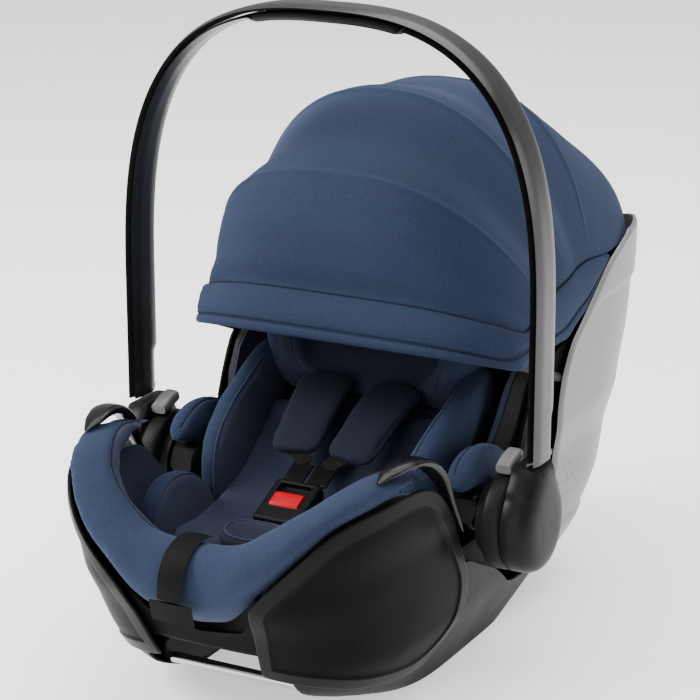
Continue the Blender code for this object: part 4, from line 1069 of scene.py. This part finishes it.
def seat_pad():
    """The newborn insert's seat and back, in one long pad with two quilted channels."""
    spine = ((-0.222, 0.1190), (-0.205, 0.1150), (-0.180, 0.1110), (-0.120, 0.1080), (-0.070, 0.1210),
             (-0.015, 0.1560), (0.035, 0.1940), (0.054, 0.2083))
    widths = ((0, 0.084), (1, 0.092), (2, 0.098), (3, 0.100), (4, 0.102), (5, 0.105), (6, 0.098))
    count, half_thick = 48, 0.0095
    line = spaced([Vector((0, y, z)) for y, z in spine], count)
    rings = []
    for k, here in enumerate(line):
        up = ACROSS.cross(heading(line, k)).normalized()
        w = between(widths, k / count * 6)
        end = min(1.0, 0.3 + 0.7 * (k / 4) ** 0.5)
        under = smooth_step(0.87, 0.955, k / count)
        ring = []
        for u, v in oval(w, half_thick * end * (1 - 0.68 * under), 5.0, 64):
            dish = 0.024 * abs(u / w) ** 3 * (1 - under)
            ring.append(here + Vector((u, 0, 0)) + up * (half_thick * (1 - 0.55 * under) + v + dish))
        rings.append(ring)
    seat = inflate(loft("insert_pad", rings, NAVY_LINER_PAINTED_FILL), 0.0045, 0.004)
    for x in (-0.034, 0.034):
        crease(seat, laid_on(seat, [p + Vector((x, 0, 0.03)) for p in line[3:-3]]), 0.0030, 0.0018)
    ripple(seat, 0.0008, 30.0, 5.0)
    show_pad(seat, 0.6, "shell", "dark_navy_fabric", "newborn_insert")


def insert():
    """The newborn insert: its seat and back, a rounded thigh bolster and a long side bolster on each side."""
    seat_pad()
    thigh = [(-0.219, 0.122), (-0.218, 0.143), (-0.208, 0.165), (-0.188, 0.180), (-0.162, 0.183),
             (-0.136, 0.175), (-0.118, 0.158), (-0.110, 0.138), (-0.114, 0.120), (-0.160, 0.112),
             (-0.200, 0.112)]
    trunk = [(-0.108, 0.130), (-0.108, 0.158), (-0.101, 0.184), (-0.084, 0.205), (-0.056, 0.224),
             (-0.018, 0.241), (0.020, 0.256), (0.048, 0.258), (0.060, 0.243), (0.054, 0.218), (0.030, 0.198),
             (-0.010, 0.168), (-0.050, 0.138), (-0.080, 0.124)]
    thick = 0.0155
    for side, word in SIDES:
        for name, outline, x, lean in (("thigh_pad_", thigh, 0.0990, 0.16),
                                       ("side_bolster_", trunk, 0.1060, 0.10)):
            pad, line, centre = pillow(name + word, outline, side * x, side * lean, side * thick,
                                       [NAVY_LINER_PAINTED_FILL, NAVY])
            ripple(pad, 0.0006, 40.0, 3.0 + side)
            seam = laid_on(pad, [Vector((side * (x - thick * 0.42 + lean * (p.z - centre.z)),
                                         centre.y + (p.y - centre.y) * 0.965,
                                         centre.z + (p.z - centre.z) * 0.965)) for p in line])
            crease(pad, seam, 0.0020, 0.0012)

            def rim(place, tree=search_tree(seam), mid=centre, s=side, far=x, tilt=lean):
                near = tree.find(place)[0]
                outward = (place - mid).length - (near - mid).length
                beyond = s * place.x - far - tilt * (place.z - mid.z)
                return int(beyond > -0.0050 and outward > -0.02)

            paint(pad, rim)
            show_pad(pad, 0.7, "shell", "dark_navy_fabric")
            line = laid_on(pad, seam, 0.0007)
            cord = tube(name + "piping_" + word, line, PIPING_RADIUS, PIPING, closed=True)
            show(cord, "shell", "dark_navy_fabric")


def headrest():
    """The headrest: a deep channel with a soft wing on each side, seamed along the wings."""
    tables = columns_of(((0.016, 0.090, 0.040), (0.032, 0.097, 0.060), (0.055, 0.104, 0.080),
                         (0.095, 0.108, 0.092), (0.135, 0.108, 0.092), (0.170, 0.104, 0.080),
                         (0.195, 0.094, 0.056)))
    gap, thick = 0.0108, 0.018
    rings, tops = [], {1: [], -1: []}
    for k in range(41):
        distance = 0.016 + 0.178 * k / 40
        w, rise = (between(rows, distance) for rows in tables)
        half = [(0, 0.0), (w * 0.5, 0.0), (w, 0.002), (w + 0.008, rise * 0.5), (w + 0.005, rise),
                (w - 0.008, rise + 0.003), (w - 0.020, rise - 0.008), (w - 0.028, thick + 0.016),
                (w - 0.050, thick + 0.001), (0, thick - 0.002)]
        whole = half + [(-x, h) for x, h in reversed(half[1:-1])]
        rings.append(spaced([along_back(distance, gap + h, x) for x, h in whole + whole[:1]], 64)[:-1])
        for side in (1, -1):
            tops[side].append(along_back(distance, gap + rise - 0.004, side * (w - 0.017)))
    pad = inflate(loft("headrest_pad", rings, [NAVY_LINER_PAINTED_FILL, NAVY]), 0.0055, 0.0035)
    for side in (1, -1):
        crease(pad, laid_on(pad, tops[side]), 0.0022, 0.0014)
    paint(pad, lambda p: int(abs(p.x) > 0.092 and (p - BACK_START).dot(HEADREST_UP) > 0.030))
    ripple(pad, 0.0007, 36.0, 8.0)
    show_pad(pad, 0.7, "headrest", "dark_navy_fabric", "headrest_cushion")
    for side, word in SIDES:
        line = smoothed(laid_on(pad, tops[side], 0.0006))
        cord = tube("headrest_piping_" + word, line, PIPING_RADIUS, PIPING)
        show(cord, "headrest", "dark_navy_fabric")


def cover():
    """The seat's own cover: a smooth quilted liner inside the foam, with a rounded top edge."""
    angles = [360.0 * k / 144 for k in range(144)]
    levels = [k / 16 for k in range(17)]
    low_out, low_in = TUB_FLOOR_Z + TUB_WALL + 0.0015, SEAT_FLOOR_Z - 0.0055
    tops = []
    for a in angles:
        z = 0.2
        for _ in range(11):
            z = 0.5 * (z + between(TUB_RIM, at_bearing(hull, a, z, FOAM_INSET)[1]) - 0.0025)
        tops.append(z)

    def wall(shape, inset, low):
        return [[at_bearing(shape, a, low + (top - low) * v, inset)[0] for a, top in zip(angles, tops)]
                for v in levels]

    foam = skin("foam_body", wall(hull, FOAM_INSET, low_out), wall(hollow, -0.0055, low_in), FOAM,
                wrap=True, cap=True)
    show(foam, "shell", "foam", "foam_liner")
    liner = skin("liner_cloth", wall(hollow, -0.0040, low_in + 0.0018), wall(hollow, 0.0, SEAT_FLOOR_Z),
                 NAVY_LINER_PAINTED_FILL, wrap=True, cap=True)
    rounded(liner, 0.0016, 3, 50.0)
    for bearing in (52.0, 118.0, 242.0, 308.0):
        line = [at_bearing(hollow, bearing, 0.112 + 0.008 * k, 0.0)[0] for k in range(24)]
        top = min(zip(angles, tops), key=lambda row: abs(row[0] - bearing))[1]
        crease(liner, laid_on(liner, [p for p in line if p.z < top - 0.004]), 0.0026, 0.0012)
    ripple(liner, 0.0006, 22.0, 4.0)
    show_pad(liner, 0.4, "shell", "dark_navy_fabric", "seat_cover")


def side_pads():
    """The rounded cheek of the cover between the belt guide and the hub, with one sewn fold."""
    tables = columns_of((
        (-0.0900, 0.1845, 0.1890, 0.0050), (-0.0840, 0.1805, 0.1995, 0.0105),
        (-0.0720, 0.1785, 0.2090, 0.0138), (-0.0540, 0.1775, 0.2140, 0.0150),
        (-0.0460, 0.1715, 0.2145, 0.0150), (-0.0380, 0.1590, 0.2140, 0.0148),
        (-0.0250, 0.1640, 0.2110, 0.0145), (-0.0100, 0.1665, 0.2055, 0.0130),
        (0.0040, 0.1700, 0.1980, 0.0105), (0.0120, 0.1780, 0.1880, 0.0050)))
    middle_x = 0.1475
    for side, word in SIDES:
        rings, top_seam = [], []
        for k in range(41):
            y = -0.0900 + 0.1020 * k / 40
            low, high, thick = (between(rows, y) for rows in tables)
            rings.append([Vector((side * (middle_x + u), y, (low + high) / 2 + w))
                          for u, w in oval(thick, (high - low) / 2, 2.2, 36)])
            top_seam.append(Vector((side * (middle_x - thick * 0.35), y, high)))
        fold = [Vector((side * 0.1330, -0.0300 - 0.9 * (0.210 - z), z))
                for z in (0.180 + 0.030 * k / 29 for k in range(30))]
        pad = inflate(loft("hub_pad_" + word, rings, NAVY), 0.0036, 0.0025)
        for seam in (top_seam, fold):
            crease(pad, laid_on(pad, seam[2:-2]), 0.0018, 0.0014)
        show_pad(pad, 0.8, "shell", "navy_fabric", "side_pad_" + word)
        line = smoothed(laid_on(pad, top_seam[2:-2], 0.0001))
        show(tube("hub_pad_seam_" + word, line, 0.0006, THREAD), "shell", "navy_fabric")


def buckle():
    """The buckle's case with its dark top, and the red button in its pocket."""
    turn = Matrix.Rotation(BUCKLE_TILT, 3, "X")

    def local(x, y, z):
        return BUCKLE + turn @ Vector((x, y, z))

    body = box_solid("buckle_case", (0.048, 0.056, 0.017), [BUCKLE_GREY, BLACK], BUCKLE, (BUCKLE_TILT, 0),
                     0.0042, 5)
    pocket = local(0, 0.010, 0.009)
    cut(body, box_solid("pocket", (0.032, 0.022, 0.012), BLACK, pocket, (BUCKLE_TILT, 0), 0.002))
    rounded(body, 0.0005, 2, 50.0)
    paint(body, lambda p: int((turn.inverted() @ (p - BUCKLE)).y > 0.0215))
    show(body, "shell", "black_plastic", "buckle_body")
    rings = []
    for s in SLICES:
        crown = 0.0006 * (1 - s * s)
        rings.append([local(s * 0.0148, v, 0.0078 + w + (crown if w > 0 else 0))
                      for v, w in oval(0.0098, 0.0024, 4.0, 20)])
    button = rounded(loft("buckle_push", rings, RED), 0.0006, 2, 50.0)
    show(button, "buckle_release", "red_plastic", "buckle_button")


def chest_strap(side, word):
    """One shoulder's tongue, its padded sleeve and the strap between the two."""
    tongue = box_solid("tongue_" + word, (0.021, 0.026, 0.0028), BLACK,
                       BUCKLE + Vector((side * 0.0125, 0.0405, 0.0180)), (BUCKLE_TILT, 0), 0.0010)
    show(tongue, "shell", "black_plastic", "buckle_tongue_" + word)
    count, half_thick = 36, 0.0050
    line = spaced([Vector((side * x, y, z)) for x, y, z in (
        (0.0280, -0.0740, 0.1875), (0.0305, -0.056, 0.1975), (0.0340, -0.022, 0.2165),
        (0.0370, 0.006, 0.2300), (0.0385, 0.020, 0.2355))], count)
    rings, edge = [], []
    for k, here in enumerate(line):
        ahead = heading(line, k)
        across = (ACROSS - ahead * ahead.x).normalized()
        up = across.cross(ahead)
        end = min(1.0, 0.62 + 0.38 * (min(k, count - k) / 4) ** 0.5)
        wide = (0.0262 + 0.0050 * k / count) * end
        rings.append([here + across * u + up * w for u, w in oval(wide, half_thick, 3.6, 44)])
        edge.append(here + across * side * (wide - 0.0035) + up * half_thick)
    pad = inflate(loft("chest_pad_" + word, rings, NAVY_PAINTED_SHADE), 0.0030, 0.0014)
    crease(pad, laid_on(pad, edge), 0.0016, 0.0008)
    show_pad(pad, 0.5, "shell", "dark_navy_fabric", "shoulder_pad_" + word)
    low = [BUCKLE + Vector((side * 0.0125, 0.0500, 0.0235)), BUCKLE + Vector((side * 0.0180, 0.0580, 0.0292)),
           Vector((side * 0.0270, -0.0690, 0.1885))]
    show(strip("tongue_strap_" + word, low, 0.0085, 0.0008, WEBBING, 14), "shell", "webbing")


def crotch():
    """The crotch strap and the small cushion in front of it, with its piped oval."""
    route = ((0, -0.160, 0.1400), (0, -0.142, 0.1320), (0, -0.126, 0.1265))
    show(strip("crotch_web", route, 0.016, 0.0012, WEBBING), "shell", "webbing", "crotch_strap")
    tables = columns_of(((-0.222, 0.1450, 0.020), (-0.212, 0.1490, 0.030), (-0.190, 0.1520, 0.034),
                         (-0.170, 0.1480, 0.028)))
    rings, seams = [], {1: [], -1: []}
    for k in range(25):
        y = -0.221 + 0.050 * k / 24
        z, w = (between(rows, y) for rows in tables)
        rings.append([Vector((u, y, z + v)) for u, v in oval(w * 0.97, 0.0060, 2.8, 40)])
        for side in (1, -1):
            seams[side].append(Vector((side * w * 0.80, y + 0.002, z + 0.0065)))
    pad = inflate(loft("crotch_cushion", rings, NAVY_PAINTED_SHADE), 0.0030, 0.0015)
    for side in (1, -1):
        crease(pad, laid_on(pad, seams[side][2:-2]), 0.0015, 0.0008)
    show_pad(pad, 0.7, "shell", "dark_navy_fabric", "crotch_pad")
    loop = [Vector((0.030 * math.cos(a), -0.1955 + 0.0235 * math.sin(a), 0.160))
            for a in (math.tau * k / 60 for k in range(60))]
    cord = tube("crotch_piping", laid_on(pad, loop, 0.0005), 0.0011, PIPING, closed=True)
    show(cord, "shell", "dark_navy_fabric")


def pull_strap():
    """The harness's pull strap and its tab, which hang over the padded foot end."""
    route = ((0, -0.2865, 0.1830), (0, -0.3040, 0.1850), (0, -0.3225, 0.1790), (0, -0.3335, 0.1680),
             (0, -0.3385, 0.1530), (0, -0.3391, 0.1400))
    show(strip("pull_web", route, 0.0125, 0.0009, WEBBING, 60), "shell", "webbing", "adjuster_strap")
    route = ((0, -0.3384, 0.1380), (0, -0.3362, 0.1280), (0, -0.3335, 0.1180))
    show(strip("pull_tab", route, 0.0215, 0.0014, WEBBING, 16), "shell", "webbing", "adjuster_tab")


def fan_blend(obj, first_body, last_body, first, last):
    """Cloth between two hoops: its placement is baked into its mesh, and no point turns with the hoops."""
    top = math.pi / 2
    arc(first, top)
    arc(last, top)
    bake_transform(obj)


def crest(fan, a):
    """The low ridge that each hoop raises in the cloth over it. It fades towards the band."""
    ridges = sum(math.exp(-((fan - hoop) / RIDGE_WIDTH) ** 2) for hoop in (FRONT_FAN, MIDDLE_FAN, REAR_FAN))
    return smooth_step(0.36, 0.70, math.sin(a)) * RIDGE_HEIGHT * ridges


def canopy_panel(name, first, last, bodies, node, rows, columns=150):
    """One stretched sheet of the canopy between two hoops, lined inside."""
    fans = [first + (last - first) * (0.5 - 0.5 * math.cos(math.pi * k / rows)) for k in range(rows + 1)]

    def grid(lift):
        found = []
        for fan in fans:
            start = arc_start(fan, between(SEAM_REACH, fan) + 0.0010)
            turns = [start + (math.pi - 2 * start) * k / columns for k in range(columns + 1)]
            found.append([arc(fan, a, crest(fan, a) + lift) for a in turns])
        return found

    outer = grid(0.0)
    sheet = skin(name, outer, grid(-LINING), [NAVY, NAVY_LINER_PAINTED_FILL], sharp=60.0)
    for n in range(2 * rows * columns):
        sheet.data.polygons[n].material_index = n % 2
    fan_blend(sheet, *bodies, first, last)
    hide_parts(node)


# Across the band: (share of the way up from its lower edge, how far it stands off the canopy's surface).
BAND_OUTSIDE = ((0.0, 0.0002), (0.015, 0.0016), (0.05, 0.0030), (0.12, 0.0036), (0.185, 0.0033),
                (0.215, 0.0022), (0.230, 0.0014), (0.245, 0.0022), (0.280, 0.0036), (0.40, 0.0050),
                (0.56, 0.0055), (0.72, 0.0050), (0.86, 0.0038), (0.95, 0.0024), (0.985, 0.0010),
                (1.0, -0.0004))
BAND_INSIDE = ((0.96, -0.0014), (0.70, -0.0010), (0.40, -0.0008), (0.15, -0.0010), (0.03, -0.0012))
STITCH_ROWS, STITCH_STEP, STITCH_LENGTH = (0.203, 0.257), 0.0042, 0.0027


def evenly(line, count):
    """A line of (fan, a) places resampled so that their points on the canopy are evenly spaced."""
    lengths = run_of([arc(*p) for p in line])
    wants = np.linspace(0, lengths[-1], count + 1)
    return list(zip(*(np.interp(wants, lengths, values) for values in zip(*line))))


def front_sections(count=110):
    """Pairs of lower and upper places of the band's front, from the left end round to the right end."""
    corner = arc_start(EDGE_FAN, between(EDGE_REACH, EDGE_FAN))
    low = [(EDGE_FAN, math.pi / 2 + (corner - math.pi / 2) * k / 60) for k in range(61)]
    for k in range(1, 61):
        fan = EDGE_FAN + (SEAM_FAN - EDGE_FAN) * k / 60
        low.append((fan, arc_start(fan, between(EDGE_REACH, fan))))
    last = arc_start(SEAM_FAN, between(SEAM_REACH, SEAM_FAN))
    high = [(SEAM_FAN, math.pi / 2 + (last - math.pi / 2) * k / 60) for k in range(61)]
    right = list(zip(evenly(low, count), evenly(high, count)))
    left = [((l[0], math.pi - l[1]), (h[0], math.pi - h[1])) for l, h in reversed(right[1:])]
    return left + right


def side_sections(side, first, last):
    """Pairs of lower and upper places of the band along one side, between two fan angles."""
    found = []
    count = max(10, round((last - first) * 1.3))
    for k in range(count + 1):
        share = k / count
        fan = first + (last - first) * (share**1.6 if first == SEAM_FAN else share)
        low, high = arc_start(fan, between(EDGE_REACH, fan)), arc_start(fan, between(SEAM_REACH, fan))
        if side < 0:
            low, high = math.pi - low, math.pi - high
        found.append(((fan, low), (fan, high)))
    return found


def add_cord(vertices, faces, stations, count):
    """Adds a thin round cord to a mesh in the making. Each station is (place, heading, radius)."""
    base = len(vertices)
    for here, ahead, radius in stations:
        up = ahead.orthogonal().normalized()
        across = ahead.cross(up)
        vertices += [here + (up * math.cos(b) + across * math.sin(b)) * radius
                     for b in (math.tau * j / count for j in range(count))]
    faces += side_faces(len(stations), count, base) + end_faces(len(stations), count, base)


def band_piece(name, sections):
    """A stretch of the padded band, with a dark cord along its upper edge and two rows of stitches low down.
    The cord is partly the seam's thread and partly painted shadow of the groove under the band's edge.
    """

    def place(section, share, lift):
        (f0, a0), (f1, a1) = section
        return arc(f0 + (f1 - f0) * share, a0 + (a1 - a0) * share, lift)

    rings = [[place(s, w, v) for w, v in BAND_OUTSIDE + BAND_INSIDE] for s in sections]
    vertices = [p for ring in rings for p in ring]
    faces = side_faces(len(rings), len(rings[0])) + end_faces(len(rings), len(rings[0]))
    cloth_faces = len(faces)
    # The dark cord along the top seam: partly the seam's own thread, partly painted shadow of the groove.
    around = [place(s, 0.990, 0.0009) for s in sections]
    add_cord(vertices, faces, [(here, heading(around, k), 0.0007) for k, here in enumerate(around)], 6)
    for share in STITCH_ROWS:
        line = [place(s, share, between(BAND_OUTSIDE, share) + 0.0001) for s in sections]
        lengths = run_of(line)
        for start in np.arange(0.001, lengths[-1] - 0.003, STITCH_STEP):
            first, last = (at_length(line, lengths, want) for want in (start, start + STITCH_LENGTH))
            ahead = (last - first).normalized()
            add_cord(vertices, faces, [(first.lerp(last, t), ahead, radius) for t, radius in (
                (0.0, 0.00018), (0.2, 0.00038), (0.8, 0.00038), (1.0, 0.00018))], 5)
    piece = as_object(name, vertices, faces, [NAVY, THREAD], sharp=50.0)
    for n, face in enumerate(piece.data.polygons):
        face.material_index = int(n >= cloth_faces)
    return piece


def canopy():
    """Four sheets between the hoops, and the padded band round their front and sides."""
    panels = (
        ("canopy_front", SEAM_FAN, FRONT_FAN, ("hoop_brim", "hoop_front"), "canopy_panel_front", 52),
        ("canopy_middle", FRONT_FAN, MIDDLE_FAN, ("hoop_front", "hoop_middle"), "canopy_panel_middle", 48),
        ("canopy_rear", MIDDLE_FAN, REAR_FAN, ("hoop_middle", "hoop_rear"), "canopy_panel_rear", 48),
        ("canopy_dome", REAR_FAN, TAIL_FAN, ("hoop_rear", "shell"), "canopy_tail", 60))
    for panel in panels:
        canopy_panel(*panel)
    brim = band_piece("band_front", front_sections())
    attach(brim, "hoop_brim")
    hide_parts("canopy_band")
    for side, word in SIDES:
        for n, (_, first, last, bodies, _, _) in enumerate(panels):
            piece = band_piece(f"band_{word}_{n}", side_sections(side, first, min(last, BAND_END)))
            fan_blend(piece, *bodies, first, last)


# ---------------------------------------------------------------- carried-over parts
def carried_over():
    """The CAD nodes that show as they are, each with its finish, and the bar of the front latch."""
    finishes = {
        BLACK_SATIN: ("underside_channel", "canopy_pivot_right", "canopy_pivot_left", "canopy_hoop_brim",
                      "canopy_hoop_front", "canopy_hoop_middle", "canopy_hoop_rear", "headrest_plate",
                      "harness_adjuster"),
        STEEL: ("pivot_bolt_right", "pivot_bolt_left", "lock_gear_right", "lock_gear_left",
                "lock_spring_right", "lock_spring_left"),
        BUTTON_SHADED: ("headrest_button",),
    }
    for made, names in finishes.items():
        for name in names:
            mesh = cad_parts[name].data
            mesh.materials.clear()
            mesh.materials.append(made)
    for side, word in SIDES:
        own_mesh(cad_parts["lock_spring_" + word])
    low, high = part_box("front_latch_bar")
    middle, radius, ease = (low + high) / 2, (high.z - low.z) / 2, 0.0008
    rod = turned("latch_rod", [(low.x, radius * 0.8), (low.x + ease, radius), (high.x - ease, radius),
                               (high.x, radius * 0.8)], STEEL, (0, middle.y, middle.z), 1, 48)
    show(rod, "shell", "steel", "front_latch_bar")


# ---------------------------------------------------------------- studio
def studio():
    """A pale floor under soft lights, and the camera of the photograph."""
    world = bpy.data.worlds.new("studio")
    world.use_nodes = True
    white = (1.0, 1.0, 1.0, 1.0)
    put(world.node_tree.nodes["Background"], Color=white, Strength=0.50)
    bpy.context.scene.world = world
    floor, tree, shader, place = new_material("studio_floor", (0.93, 0.93, 0.93), 0.65)
    put(shader, Roughness=ramp(tree, noise(tree, place, 3.0), 0.3, 0.7, 0.60, 0.70), Emission_Color=white,
        Emission_Strength=0.75)
    half, level = 9.0, -0.0005
    corners = [(x * half, y * half, level) for x, y in ((-1, -1), (1, -1), (1, 1), (-1, 1))]
    as_object("studio_floor", corners, [(0, 1, 2, 3)], floor)
    aim = Vector((0.0, 0.0, 0.28))
    for name, place, size, power in (("key", (-1.9, -1.1, 1.9), 1.2, 110.0),
                                     ("top", (0.2, 0.5, 3.0), 3.4, 145.0),
                                     ("right_strip", (2.4, 0.9, 0.9), 1.0, 11.0),
                                     ("fill", (0.2, -2.5, 0.75), 1.3, 19.0)):
        light = bpy.data.lights.new(name, "AREA")
        light.size, light.energy = size, power
        lamp = placed(name, light)
        lamp.location = place
        lamp.rotation_euler = (aim - Vector(place)).to_track_quat("-Z", "Y").to_euler()
    lens = bpy.data.cameras.new("camera")
    lens.lens, lens.sensor_width = 128.6, 36.0
    lens.clip_end = 50.0
    camera = placed("camera", lens)
    camera.location = (1.0602, -2.0061, 0.9657)
    camera.rotation_euler = Vector((-0.4490, 0.8444, -0.2924)).to_track_quat("-Z", "Y").to_euler()
    bpy.context.scene.camera = camera


# ---------------------------------------------------------------- the whole carrier
base_body()
tub_body()
flank()
for side, word in SIDES:
    wing(side, word)
    horn(side, word)
    belt_guide(side, word)
handle()
hubs()
cover()
bolster()
insert()
headrest()
side_pads()
buckle()
for side, word in SIDES:
    chest_strap(side, word)
crotch()
pull_strap()
canopy()
carried_over()
studio()
